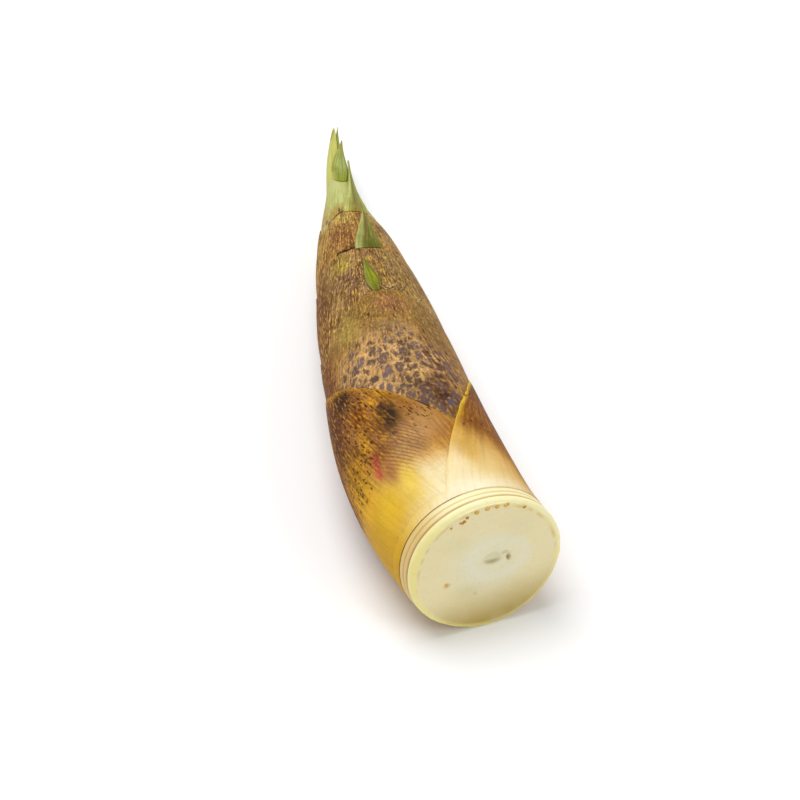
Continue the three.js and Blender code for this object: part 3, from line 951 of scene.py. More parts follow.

# %% [markdown]
# ## Painting by formula
# A few short lists paint each leaf. `pale_until` says how far up its cream foot reaches at a few
# angles, `touches` are soft oval patches, as an airbrush would leave, and `marks` say where blotches,
# dashes and fine lines show. Some leaves also have `calm` patches, where the streaks fade, and crevice
# lists, dark lines of painted shade along the edge of the leaf below. All of them are placed on the
# shoot by length and angle, so they turn with it. NumPy mixes them for all points at once.

# %% Brushes
SPOT_CORE = 0.2  # the even middle of a soft patch, as a share of it


def spot(along, angle, middle, size):
    """1 in the middle of a soft oval patch (mm along, degrees around), 0 outside it."""
    away = np.hypot((along - middle[0]) / size[0], degrees_from(angle, middle[1]) / size[1])
    return 1 - smooth((away - SPOT_CORE) / (1 - SPOT_CORE))


def round_the_shoot(table, angle):
    """Reads a table of (angle, value), which closes on itself, at any angle."""
    turns = [row[0] for row in table]
    values = [row[1] for row in table]
    return np.interp(np.mod(angle, 360), turns, values, period=360)


def tones_round_the_shoot(table, angle):
    channels = [[(turn, colour(code)[c]) for turn, code in table] for c in range(3)]
    return np.stack([round_the_shoot(channel, angle) for channel in channels], axis=-1)


RAGGED_WAVES = [(5, 0.30), (11, 0.22), (19, 0.16), (31, 0.12), (43, 0.10)]  # waves round, mm


def ragged(angle, seed):
    """A small wandering round the shoot, the same on each run."""
    phases = np.random.default_rng(seed).uniform(0, 2 * np.pi, len(RAGGED_WAVES))
    return sum(size * np.sin(waves * np.radians(angle) + phase)
               for (waves, size), phase in zip(RAGGED_WAVES, phases))


def touch(wash, amount, code):
    """Lays a colour over the wash where amount is above 0."""
    return mix(wash, colour(code), amount[..., None])


def with_alpha(wash):
    """The wash as Blender keeps a colour, with a fourth value that says it is not see-through."""
    return np.concatenate([wash, np.ones(wash.shape[:-1] + (1,))], axis=-1)


FOOT_TONES = [
    (0, "C49A58"), (30, "C49648"), (52, "DCB874"), (70, "E6CA88"), (90, "F0DCAC"), (108, "F2E0AC"),
    (124, "EAC864"), (142, "E4B83C"), (165, "DAAA30"), (210, "C89A3A"), (270, "DEC68C"), (330, "CFA868"),
]
print("tones round the foot:", len(FOOT_TONES))

# %% How each leaf is coloured
# tone and pale_until (angle, mm) give the broad colour, and fade how softly the pale foot ends. One row
# in pale_until holds all round. A touch is
# (along, angle, length, breadth, colour, strength). A mark is (along, angle, length, breadth, blotches,
# dashes, fine lines). A calm patch is (along, angle, length, breadth, how much less the streaks show).
# A crevice is a dark line of painted shade beyond the edge of the leaf below: (its name, from and to in
# degrees, width in mm).
LEAF_LOOKS = {
    "sheath_1": {
        "finish": "first_sheath", "fade": 30, "tone": "965C1E",
        "pale_until": [(0, 6), (30, 8), (50, 15), (70, 19), (90, 20), (120, 20)],
        "touches": [
            (78, 30, 26, 28, "6A360A", 0.95), (54, 14, 30, 24, "844A0C", 0.9),
            (46, 56, 12, 15, "8E5A22", 0.6), (40, 40, 18, 14, "8E5618", 0.75),
            (29, 74, 14, 13, "D2A446", 0.75), (56, 64, 12, 7, "C89428", 0.7),
            (26, 22, 20, 24, "A2701E", 0.9),
        ],
        "marks": [(60, 36, 26, 34, 0, 0.4, 0.4), (40, 60, 14, 20, 0, 0.25, 0.2)],
    },
    "sheath_2": {
        "finish": "second_sheath", "fade": 18, "tone": "AA7438",
        "pale_until": [
            (60, 12), (85, 20), (112, 20), (125, 23), (135, 21), (158, 25), (190, 22), (270, 26),
        ],
        "touches": [
            (72, 168, 32, 24, "5A2400", 0.95), (56, 190, 28, 22, "6C3602", 0.95),
            (80, 148, 15, 18, "34180A", 0.95), (63, 137, 9, 13, "96500E", 0.8),
            (66, 118, 6, 14, "CE9230", 0.8), (44, 166, 15, 28, "E2A41E", 0.95),
            (50, 140, 10, 8, "D89E2C", 0.75), (53, 115, 14, 14, "3A2E22", 0.95),
            (45, 93, 13, 19, "B08450", 0.8), (38, 110, 13, 22, "C49C6C", 0.6),
            (40, 137, 5, 5, "CC4C48", 0.8), (35, 140, 6, 5, "D0464C", 0.9),
            (32, 131, 10, 9, "B0704A", 0.8), (34, 164, 13, 26, "EEB630", 0.9),
            (24, 122, 8, 10, "F0CC54", 0.75), (20, 150, 9, 18, "E8BC34", 0.7),
        ],
        "marks": [
            (64, 150, 34, 34, 0, 1.2, 0.2), (44, 160, 22, 28, 0, 1.3, 0.1), (38, 118, 18, 26, 0, 0.1, 1.5),
            (53, 116, 11, 10, 0.9, 0, 0), (52, 96, 14, 18, 0, 0.8, 0), (68, 118, 10, 24, 0, 0.9, 0),
            (79, 147, 10, 13, 1.0, 0, 0),
        ],
        "calm": [(48, 92, 26, 30, 0.7), (52, 114, 14, 14, 0.5)],
    },
    "sheath_3": {
        "finish": "brown_sheath", "fade": 16, "tone": "A47A40",
        "pale_until": [(0, 30)],
        "touches": [
            (82, 100, 36, 66, "F0C080", 0.9), (122, 98, 22, 62, "96783C", 0.9),
            (122, 84, 11, 21, "A26C4E", 0.8), (113, 128, 18, 18, "AE984C", 0.8),
            (58, 73, 18, 16, "442E28", 0.95), (102, 166, 52, 27, "7E4002", 0.95),
            (108, 144, 14, 10, "B08C46", 0.6),
            (112, 56, 30, 18, "80683A", 0.7), (104, 92, 9, 26, "8A7258", 0.6),
        ],
        "marks": [
            (76, 100, 34, 74, 1.3, 0, 0.1), (86, 100, 15, 40, 0.5, 0, 0), (84, 60, 30, 20, 0, 0.5, 1.2),
            (120, 100, 22, 66, 0, 0.2, 0), (58, 74, 16, 18, 0.8, 0, 0.3), (92, 160, 40, 22, 0, 0.3, 0.8),
        ],
        "crevice_shades": [("sheath_2", 60, 100, 0.7)],
    },
    "sheath_4": {
        "finish": "upper_sheath", "fade": 16, "tone": "8A5422",
        "pale_until": [(0, 50)],
        "touches": [(118, 165, 40, 34, "7E4404", 0.9), (130, 270, 40, 60, "9A6C38", 0.5)],
        "marks": [(115, 160, 60, 60, 0.2, 0.3, 0.9)],
    },
    "sheath_5": {
        "finish": "upper_sheath", "fade": 16, "tone": "B28E58",
        "pale_until": [(0, 70)],
        "touches": [
            (158, 122, 11, 18, "CAB44C", 0.9), (146, 119, 9, 22, "7C5A50", 0.8),
            (150, 66, 28, 22, "968050", 0.7), (160, 102, 8, 16, "AE8A5E", 0.7),
            (138, 164, 42, 32, "844404", 0.95), (180, 174, 18, 22, "C0A046", 0.7),
            (138, 104, 8, 18, "9A7A60", 0.7),
            (144, 84, 8, 10, "8A7434", 0.6), (152, 98, 6, 10, "6E5450", 0.5), (162, 82, 6, 10, "745A4C", 0.5),
        ],
        "marks": [(150, 100, 40, 90, 0.14, 0.4, 0.3), (146, 157, 28, 26, 0, 0.3, 0.8)],
        "crevice_shades": [("sheath_3", 56, 82, 0.5)],
    },
    "sheath_6": {
        "finish": "upper_sheath", "fade": 16, "tone": "8E5820",
        "pale_until": [(0, 90)],
        "touches": [(160, 165, 24, 30, "9A6022", 0.7), (165, 270, 40, 60, "9A7038", 0.5)],
        "marks": [(155, 160, 60, 60, 0.2, 0.3, 0.9)],
    },
    "sheath_7": {
        "finish": "upper_sheath", "fade": 14, "tone": "C89454",
        "pale_until": [(0, 110)],
        "touches": [
            (196, 106, 10, 30, "E0C668", 0.9), (180, 112, 11, 28, "B67E46", 0.7),
            (186, 50, 24, 24, "988860", 0.75), (194, 60, 8, 11, "BCB05C", 0.7),
            (171, 76, 11, 16, "8A7C34", 0.85),
            (192, 150, 26, 26, "C09C48", 0.85), (188, 118, 6, 14, "B8863E", 0.5),
        ],
        "marks": [(186, 100, 30, 80, 0.15, 0.4, 0.1), (180, 115, 18, 30, 0, 0.1, 0.7)],
        "crevice_shades": [("sheath_5", 93, 130, 2.7)],
    },
    "sheath_8": {
        "finish": "upper_sheath", "fade": 14, "tone": "A0702A",
        "pale_until": [(0, 130)],
        "touches": [(205, 160, 24, 40, "C09A34", 0.85), (205, 270, 30, 60, "A08440", 0.6)],
        "marks": [(200, 150, 40, 60, 0.2, 0.4, 0.5)],
        "crevice_shades": [("sheath_7", 100, 165, 1.5)],
    },
    "sheath_9": {
        "finish": "young_leaf", "fade": 12, "tone": "BCC07C",
        "pale_until": [(0, 150)],
        "touches": [
            (232, 110, 12, 60, "C2C688", 0.6), (202, 112, 13, 44, "B47C26", 0.95),
            (208, 168, 30, 40, "C8922A", 0.95), (226, 180, 20, 28, "D2B23C", 0.85),
            (202, 20, 20, 60, "9C8440", 0.85),
            (200, 300, 18, 90, "A88C42", 0.8), (196, 96, 8, 20, "9A5E20", 0.7),
        ],
        "marks": [(200, 110, 18, 90, 0.3, 0.7, 0.3), (214, 160, 24, 30, 0, 0.4, 0.3)],
        "crevice_shades": [("sheath_7", 84, 150, 2.4)],
    },
    "tip_leaf_outer": {
        "finish": "young_leaf", "fade": 10, "tone": "CCC868",
        "pale_until": [(0, 160)],
        "touches": [
            (277, 150, 9, 40, "8E7222", 0.85), (240, 185, 22, 30, "DAC850", 0.85),
            (262, 150, 16, 22, "CCD088", 0.6),
        ],
        "marks": [(275, 180, 14, 30, 0.2, 0.4, 0.2)],
    },
    "tip_leaf_inner": {
        "finish": "young_leaf", "fade": 10, "tone": "96A048",
        "pale_until": [(0, 190)],
        "touches": [(272, 60, 16, 90, "7E8E34", 0.8)],
        "marks": [(280, 60, 12, 60, 0, 0.2, 0.2)],
    },
}
TURNING_TONE, FOOT_AGED = "D6A654", 0.14  # between the pale foot and the leaf's own colour
FOOT_PALE, FOOT_PALE_TO, FOOT_PALE_FADE = "FAF0D2", 8.0, 10.0  # next to the cut, on the upper side
FOOT_PALE_STRENGTH, TOP, TOP_HALF = 0.7, 90, 75  # degrees: the upper side of the shoot
FOOT_RAGGED = 2.5  # how much more the pale foot wanders than the edge of a leaf
TURNING_OVER, TONE_FROM, TONE_OVER, AGED_OVER = 0.7, 0.4, 0.6, 1.4  # as shares of the fade
MARKS_ON_PALE = 0.25  # how much of the marks shows where the leaf has not aged
CREVICE_FADE, CREVICE_ENDS, NO_CREVICE = 6.0, 3.0, 9.0  # degrees over which it narrows, and widths away


def beyond_edges(name, along, angle):
    """0 at the edge of the leaf below, 1 one width of the painted shade line beyond it, and large where no
    such line lies.
    """
    nearest = np.full(np.shape(along), NO_CREVICE)
    for below, start, end, width in LEAF_LOOKS[name].get("crevice_shades", []):
        edge = top_edge(next(wrap for wrap in WRAPS if wrap["name"] == below), angle)
        inside = np.minimum(angle - start, end - angle) / CREVICE_FADE
        beyond = np.maximum(along - edge, 0) / width + CREVICE_ENDS * (1 - smooth(inside))
        nearest = np.minimum(nearest, beyond)
    return nearest


def paint_leaf(name, along, angle):
    """The wash of a leaf, its marks and how far it has turned brown."""
    look = LEAF_LOOKS[name]
    start = round_the_shoot(look["pale_until"], angle) + FOOT_RAGGED * ragged(angle, len(name))
    turned = (along - start) / look["fade"]
    wash = touch(tones_round_the_shoot(FOOT_TONES, angle), smooth(turned / TURNING_OVER), TURNING_TONE)
    wash = touch(wash, smooth((turned - TONE_FROM) / TONE_OVER), look["tone"])
    upper_side = smooth(1 - np.abs(angle - TOP) / TOP_HALF)
    rim_side = (1 - smooth((along - FOOT_PALE_TO) / FOOT_PALE_FADE)) * upper_side
    wash = touch(wash, FOOT_PALE_STRENGTH * rim_side, FOOT_PALE)
    aged = FOOT_AGED + (1 - FOOT_AGED) * smooth(turned / AGED_OVER)
    for middle, turn, length, breadth, code, strength in look["touches"]:
        wash = touch(wash, strength * spot(along, angle, (middle, turn), (length, breadth)), code)
    marks = np.zeros(wash.shape)
    for middle, turn, length, breadth, *amounts in look["marks"]:
        marks += spot(along, angle, (middle, turn), (length, breadth))[..., None] * np.array(amounts)
    marks = np.clip(marks * (aged[..., None] + MARKS_ON_PALE), 0, 1)
    for middle, turn, length, breadth, amount in look.get("calm", []):
        aged = aged * (1 - amount * spot(along, angle, (middle, turn), (length, breadth)))
    return with_alpha(wash), marks, aged


print("painted leaves:", len(LEAF_LOOKS))

# %% [markdown]
# ## The sheaths
# A sheath is a thin wall rolled round the shoot. It could be a flat sheet with a Solidify modifier,
# but its wall is thick at the foot and paper thin at the edge, so both faces are made directly and
# joined at the foot and along the edge. The edge is a little ragged and lies close on the next sheath.

# %% One sheath
WRAP_COLUMNS = 210
ROW_LENGTH = 1.4
EDGE_ROWS = (0.45, 0.75, 0.92, 1.0)  # the last row is split, to round the edge off
MARGIN_THICKNESS = 0.25
THINS_OVER = 15.0
MARGIN_DROP, DROPS_OVER = 0.07, 3.0  # near its edge a sheath lies down on the next one
RIB_HEIGHT = 0.16
USUAL_GATHER, GATHER = 0.010, {"sheath_1": 0.022}  # per mm
HAIR_CLEARANCE = 1.0  # nothing stands out from the surface nearer to the ground than this
HAIRS_FROM, HAIRS_OVER = 55.0, 20.0  # the foot of the shoot is bare
LEAST_ROWS = 6
DROP_RAGGED, DROP_SEED = 0.3, 50
ROUNDING, ROUNDED_OVER = 0.35, 0.35  # the edge loses this share of its thickness over so many mm
RIBS_START = 1.5  # mm below the edge where the ribs have their full height


def gathered(wrap, along, angle):
    """The angle at which a fibre left the foot. Fibres draw together towards the apex of their leaf."""
    away = degrees_from(angle, wrap["facing"])
    rate = GATHER.get(wrap["name"], USUAL_GATHER)
    drawn = np.exp(rate * (along - mix(wrap["notch"], wrap["tip"], 0.5))) - 1
    return wrap["facing"] + away * (1 + drawn * (1 - (away / 180) ** 2))


def leaf_values(name, along, angle, fibre_angle, below, outside):
    wash, marks, aged = paint_leaf(name, along, angle)
    above_ground = smooth(place(along, angle, body_radius(along))[..., 2] / HAIR_CLEARANCE - 1)
    return {
        "grain": grain_of(along, fibre_angle), "ahead": ahead_of(along, angle), "wash": wash,
        "marks": marks, "aged": aged, "below": below, "outside": outside * above_ground,
        "beyond": beyond_edges(name, along, angle),
        "hairy": outside * above_ground * smooth((along - HAIRS_FROM) / HAIRS_OVER),
    }


def make_wrap(wrap, index):
    angle = angles_round(WRAP_COLUMNS)
    edge = top_edge(wrap, angle) + ragged(angle, index)
    count = max(LEAST_ROWS, int((edge.max() - wrap["node"]) / ROW_LENGTH))
    steps = np.arange(count) / count
    steps = np.concatenate([steps, steps[-1] + np.array(EDGE_ROWS) / count])
    along = wrap["node"] + (edge - wrap["node"]) * steps[:, None]
    angle = np.broadcast_to(angle, along.shape)
    below = edge - along
    near = np.exp(-below / DROPS_OVER)
    drop = MARGIN_DROP * near * (1 + DROP_RAGGED * ragged(angle * 2, index + DROP_SEED))
    outer = skin(index, along, angle) - drop
    thickness = mix(MARGIN_THICKNESS, SHEATH_THICKNESS, smooth(below / THINS_OVER))
    rounding = ROUNDING * thickness * (1 - np.clip(below / ROUNDED_OVER, 0, 1)) ** 2
    inner = outer - thickness + rounding
    points = np.stack([place(along, angle, outer - rounding), place(along, angle, inner)])

    rows, columns = along.shape
    size = rows * columns
    faces = grid_faces(rows, columns, True) + grid_faces(rows, columns, True, size, flipped=True)
    foot = np.arange(columns)
    margin = foot + size - columns
    faces += strip_faces(foot, foot + size, True)
    faces += strip_faces(margin, margin + size, True, flipped=True)
    both = [np.stack([data, data]) for data in (along, angle, gathered(wrap, along, angle), below)]
    outside = np.stack([np.clip(below / RIBS_START, 0, 1), np.zeros_like(below)])
    piece = make_object(wrap["name"], points, faces, leaf_values(wrap["name"], *both, outside))
    finish = FINISHES[LEAF_LOOKS[wrap["name"]]["finish"]]
    return run_tree(piece, RIBS, Height=RIB_HEIGHT * MM, Material=finish)


pieces = {wrap["name"]: make_wrap(wrap, index) for index, wrap in enumerate(WRAPS)}
print("points of sheath_3:", len(pieces["sheath_3"].data.vertices))

# %% [markdown]
# ## The rolled leaf at the tip
# The youngest leaf is still rolled up tight. It is one solid skinned over rings, with a small step
# that winds round it where the leaf's edge lies over itself. Its foot is hollow round the stem.

# %% The inner tip leaf
INNER_NODE, INNER_TIP, TAPER_FROM = 190.0, 285.0, 256.0
TIP_ANGLE, TIP_RADIUS, TIP_SLACK = 90.0, 1.0, 0.15
GROWING_POINT, GROWING_RADIUS = 212.0, 0.8
TIP_COLUMNS = 96
ROLL_STEP, ROLL_START, ROLL_TWIST = 0.28, 150.0, 1.6  # mm, degrees, degrees per mm
TIP_RIB_HEIGHT, TIP_RIBS_PER_CM = 0.08, 6.0
TIP_RING, LAST_RING = 1.0, 0.4  # mm between its rings, and from the last one to the tip
FAR_BELOW = 20.0  # mm: it has no free edge, so no dry margin either


def growing_point_radius(along):
    foot = float(skin(len(WRAPS), INNER_NODE, 0.0)) - LAYER
    return mix(foot, GROWING_RADIUS, np.clip((along - INNER_NODE) / (GROWING_POINT - INNER_NODE), 0, 1))


def solid_faces(rings, columns):
    """Skin over rings, closed by a fan to a point at each end. The two points come last."""
    first = rings * columns
    faces = grid_faces(rings, columns, True)
    for column in range(columns):
        after = (column + 1) % columns
        faces.append([first, column, after])
        faces.append([first + 1, first - columns + after, first - columns + column])
    return faces


def make_inner_tip_leaf():
    angle = angles_round(TIP_COLUMNS)
    hollow_along = np.array([GROWING_POINT, INNER_NODE])[:, None]
    hollow = growing_point_radius(hollow_along) + GAP + 0 * angle
    rings = np.arange(INNER_NODE, INNER_TIP - TIP_RING, TIP_RING)
    along = np.append(rings, [INNER_TIP - TIP_RING, INNER_TIP - LAST_RING])[:, None] + 0 * angle
    roll = np.mod(angle - ROLL_START - ROLL_TWIST * (along - INNER_NODE), 360) / 360
    radius = skin(len(WRAPS), along, angle) - TIP_SLACK - ROLL_STEP * (1 - roll)
    taper = np.clip((along - TAPER_FROM) / (INNER_TIP - TAPER_FROM), 0, 1)[..., None]
    outside = mix(place(along, angle, radius), place(along, TIP_ANGLE, TIP_RADIUS), taper)
    points = np.concatenate([
        place(hollow_along, angle, hollow).reshape(-1, 3), outside.reshape(-1, 3),
        place(GROWING_POINT + GROWING_RADIUS + GAP, 0, 0)[None],
        place(INNER_TIP, TIP_ANGLE, TIP_RADIUS)[None],
    ])
    ends = [GROWING_POINT, INNER_TIP]
    all_along = np.concatenate([np.repeat(hollow_along, TIP_COLUMNS), along.ravel(), ends])
    all_angle = np.concatenate([angle, angle, np.tile(angle, len(along)), [0, TIP_ANGLE]])
    ones = np.ones_like(all_along)
    values = leaf_values("tip_leaf_inner", all_along, all_angle, all_angle, FAR_BELOW * ones, ones)
    piece = make_object("tip_leaf_inner", points, solid_faces(2 + len(along), TIP_COLUMNS), values)
    finish = FINISHES[LEAF_LOOKS["tip_leaf_inner"]["finish"]]
    return run_tree(piece, RIBS, Height=TIP_RIB_HEIGHT * MM, Across=TIP_RIBS_PER_CM, Material=finish)


pieces["tip_leaf_inner"] = make_inner_tip_leaf()

# %% [markdown]
# ## The blades
# Each of the upper sheaths ends in a small green blade, a thin pointed leaf of its own colour. A
# blade is a narrow grid laid over the next sheath. Its outline is a short list of widths, its cross
# section a shallow valley, and close ribs run from the foot to the point.

# %% One blade
BLADE_THICKNESS = 0.5
BLADE_ROWS, BLADE_COLUMNS = 72, 41
BLADE_OVERLAP = 0.8  # how far the foot reaches down over the sheath
BLADE_KEYS = ("name", "sheath", "facing", "lean", "width", "length", "lift", "bow")
BLADE_TABLE = [
    ("blade_3", 3, 92, 3, 5.5, 23, 0.3, 0.0),
    ("blade_4", 4, 266, -4, 7.0, 26, 0.0, 0.5),
    ("blade_5", 5, 85, -14, 11.0, 33, 0.6, 0.4),
    ("blade_6", 6, 262, 6, 10.0, 32, 0.4, 0.6),
    ("blade_7", 7, 81, -50, 10.0, 52, 0.9, 0.6),
    ("blade_8", 8, 262, -10, 8.0, 42, 0.6, 0.8),
    ("blade_9", 9, 88, -34, 6.6, 33.5, 0.2, 2.6),
]
BLADES = [dict(zip(BLADE_KEYS, row)) for row in BLADE_TABLE]
USUAL_OUTLINE = [(0, 1.0, 1.0), (0.12, 0.94, 0.9), (0.3, 0.72, 0.62), (0.55, 0.44, 0.34),
                 (0.8, 0.2, 0.14), (1, 0.04, 0.04)]
OUTLINES = {  # how far along, share of the half width on the right, and on the left
    "blade_3": [(0, 0.35, 0.3), (0.12, 0.8, 0.7), (0.3, 1.0, 0.95), (0.55, 0.66, 0.7),
                (0.8, 0.3, 0.34), (1, 0.04, 0.04)],
    "blade_5": [(0, 1.0, 1.0), (0.12, 0.84, 0.96), (0.3, 0.55, 0.82), (0.55, 0.3, 0.55),
                (0.8, 0.14, 0.28), (1, 0.05, 0.06)],
    "blade_7": [(0, 1.0, 1.0), (0.12, 0.88, 0.92), (0.3, 0.6, 0.66), (0.55, 0.28, 0.34),
                (0.8, 0.1, 0.14), (1, 0.03, 0.03)],
    "blade_9": [(0, 0.9, 0.9), (0.1, 1.0, 1.0), (0.3, 1.0, 1.0), (0.5, 0.68, 0.76),
                (0.75, 0.3, 0.34), (1, 0.04, 0.04)],
}
BLADE_LOOKS = {  # colours of the foot, middle, tip, left edge, right edge, and of a streak up the middle
    "blade_3": ("6A6612", "8C9010", "726A20", "888838", "6E5E22", ("6E7A14", 0.3)),
    "blade_4": ("7A842C", "929C40", "A09E4E", "B0B46C", "7E8434", ("8E6A2E", 0.2)),
    "blade_5": ("5A5A1A", "7C7A2E", "8A7C40", "B8BA70", "78762C", ("6E4E1E", 0.9)),
    "blade_6": ("727C22", "8E983E", "98984E", "B4BA7A", "7E8434", ("8E6A2E", 0.3)),
    "blade_7": ("948030", "A4A040", "B4AE58", "CCCE74", "A8A84A", ("62621C", 0.6)),
    "blade_8": ("7E882E", "96A048", "A6A65A", "BABE7C", "84863A", ("8E6A2E", 0.2)),
    "blade_9": ("8E982A", "A2AE5C", "BCB048", "C2C068", "7E8430", ("A8B46E", 0.4)),
}
BLADE_AGED = 0.8  # how strongly the streaks show on a blade
BLADE_STAGES = [(0.0, 0.4), (0.45, 0.5)]  # where along it the middle and the tip colour start, and over
STREAK_MIDDLE, STREAK_HALF, STREAK_FROM, STREAK_OVER = 0.1, 0.6, 0.08, 0.25
LEFT_FROM, LEFT_OVER, LEFT_STRENGTH = 0.25, 0.5, 0.9
RIGHT_FROM, RIGHT_OVER, RIGHT_STRENGTH = 0.45, 0.45, 0.8
VALLEY, CURL, BLADE_RIB = 0.3, 0.2, 0.10
VALLEY_OVER, CURL_OVER, LOWEST_HANG = 0.3, 0.2, -0.1
RIBS_A_SIDE = 9
PRESSED_GAP, FOOT_RISE = 0.05, 3.0  # the foot of a blade lies close on its sheath, and rises from it
EDGE_STEP, EDGE_STEP_OVER = 0.6, 1.2  # mm, where the blade steps off the edge of its sheath
BLADE_EDGE, BLADE_ARCH, ARCH_CURVE, FOOT_THIN = 0.45, 0.55, 0.9, 0.4  # shares of its thickness
POINT_MARGIN = 6.0  # the foot counts as so many mm below the point, which widens the margin there
PATTERN_SHIFT = 7.3  # cm, so that no two blades show the same part of the pattern


def paint_blade(name, t, across):
    foot, middle, tip, left, right, (streak, strength) = BLADE_LOOKS[name]
    wash = colour(foot)
    for code, (start, over) in zip((middle, tip), BLADE_STAGES):
        wash = touch(wash, smooth((t - start) / over), code)
    middle_line = smooth(1 - np.abs(across - STREAK_MIDDLE) / STREAK_HALF)
    wash = touch(wash, strength * middle_line * smooth((t - STREAK_FROM) / STREAK_OVER), streak)
    wash = touch(wash, LEFT_STRENGTH * smooth((across - LEFT_FROM) / LEFT_OVER), left)
    wash = touch(wash, RIGHT_STRENGTH * smooth((-RIGHT_FROM - across) / RIGHT_OVER), right)
    return with_alpha(wash)


def make_blade(blade):
    wrap = WRAPS[blade["sheath"] - 1]
    t, across = np.meshgrid(
        np.linspace(0, 1, BLADE_ROWS), np.linspace(-1, 1, BLADE_COLUMNS), indexing="ij",
    )
    table = OUTLINES.get(blade["name"], USUAL_OUTLINE)
    # across runs from the right edge, -1, to the left edge, 1
    share = np.where(across < 0, through(table, t, 1), through(table, t, 2))
    arc = across * share * blade["width"] / 2
    radius = body_radius(wrap["tip"] + blade["length"] * t)
    angle = blade["facing"] + blade["lean"] * t + np.degrees(arc / radius)
    foot = top_edge(wrap, angle) - BLADE_OVERLAP - blade["bow"] * (1 - across ** 2) * (1 - t)
    along = mix(foot, wrap["tip"], t) + GAP + blade["length"] * t
    on_sheath, beyond = skin(blade["sheath"] - 1, along, angle), skin(blade["sheath"], along, angle)
    bed = mix(beyond, on_sheath, smooth((top_edge(wrap, angle) + EDGE_STEP - along) / EDGE_STEP_OVER))
    curl = CURL * across ** 2 * smooth(t / CURL_OVER)
    hang = curl + VALLEY * (np.abs(across) - 0.5) * smooth(t / VALLEY_OVER)
    ribs = BLADE_RIB * np.abs(np.sin(RIBS_A_SIDE * np.pi * across)) * (1 - t)
    free = smooth(t * blade["length"] / FOOT_RISE)
    under = bed + mix(PRESSED_GAP, GAP, free) + blade["lift"] * t * t + np.maximum(hang, LOWEST_HANG)
    arch = BLADE_EDGE + BLADE_ARCH * np.sqrt(1 - across ** 2 * ARCH_CURVE)
    thickness = BLADE_THICKNESS * arch * mix(FOOT_THIN, 1, free)
    points = np.stack([place(along, angle, under + thickness + ribs), place(along, angle, under)])

    rows, columns = t.shape
    size = rows * columns
    number = np.arange(size).reshape(rows, columns)
    faces = grid_faces(rows, columns, False) + grid_faces(rows, columns, False, size, flipped=True)
    border = np.concatenate([number[0, :-1], number[:-1, -1], number[-1, :0:-1], number[:0:-1, 0]])
    faces += strip_faces(border, border + size, True)
    shifted = 0 * t + blade["sheath"] * PATTERN_SHIFT
    fibre = np.stack([across * blade["width"] / 20, shifted, t * blade["length"] / 10], axis=-1)  # cm
    rim = np.minimum((1 - np.abs(across)) * share * blade["width"] / 2, (1 - t) * POINT_MARGIN)
    sides = {
        "grain": fibre, "ahead": ahead_of(along, angle), "wash": paint_blade(blade["name"], t, across),
        "marks": np.zeros(t.shape + (3,)), "aged": BLADE_AGED + 0 * t, "below": rim,
        "outside": np.zeros_like(t), "beyond": NO_CREVICE + 0 * t,
    }
    values = {key: np.stack([data, data]) for key, data in sides.items()}
    piece = make_object(blade["name"], points, faces, values)
    return run_tree(piece, RIBS, Height=0.0, Material=FINISHES["green_blade"])


pieces.update({blade["name"]: make_blade(blade) for blade in BLADES})
print("blades:", len(BLADES))

# %% [markdown]
# ## The stem and its cut
# Only the cut end of the stem shows: a flat face with the small pith hole, a rounded rim, and the
# groove above it. The rest is the stepped cone inside the sheaths. The whole stem is one solid
# skinned over rings. Rings 0.4 mm apart on the face are fine enough for the hole and the pits to be
# real dents.

# %% The cut face
STEM_COLUMNS = 240
FACE_RADIUS, FACE_RING = 26.4, 0.4
RIM = [  # along, smaller than the outer radius by
    (0.0, 1.8), (0.12, 1.45), (0.4, 0.85), (0.8, 0.4), (1.3, 0.12), (1.9, 0.0), (2.3, 0.05), (2.55, 0.2),
    (2.8, 0.34), (3.05, 0.2), (3.3, 0.06), (3.9, 0.0), (4.6, 0.05), (4.9, 0.16), (5.2, 0.05), (5.8, 0.05),
    (6.5, 0.05), (6.95, 0.12), (7.15, 0.25), (7.27, 0.55),
]
RIM_LINES = [(2.8, 0.65, 0.85), (4.9, 0.5, 0.6), (6.8, 0.5, 0.3)]  # along, half width, strength
RIM_RAGGED = [(7, 0.10), (17, 0.09), (29, 0.08), (53, 0.05)]  # waves round, mm
PITS = [  # right, up, half width, half height, depth
    (2.2, 2.4, 4.6, 3.5, 0.9), (8.1, 1.3, 1.1, 2.4, 0.9), (6.8, 3.6, 1.8, 0.8, 0.7),
    (-15.1, -4.4, 1.2, 1.0, 0.45), (-4.8, -11.5, 0.8, 0.8, 0.3),
]
# The lower tone of the face is partly its own olive cast and partly painted shade, as the lower face gets
# less light.
FACE_MIDDLE, FACE_OUTER, FACE_LOWER_OLIVE_AND_SHADE = "ECE4BE", "F0E1AC", "AC8C14"
FACE_HALO, PITH_TONE, PITH_SHADE = "ECE9CE", "DAD4A8", "A67C08"
PITH_RIGHT, PITH_LOW, PITH_CURVE = 2.6, 1.5, 0.06  # the shade under the pith hole is a crescent
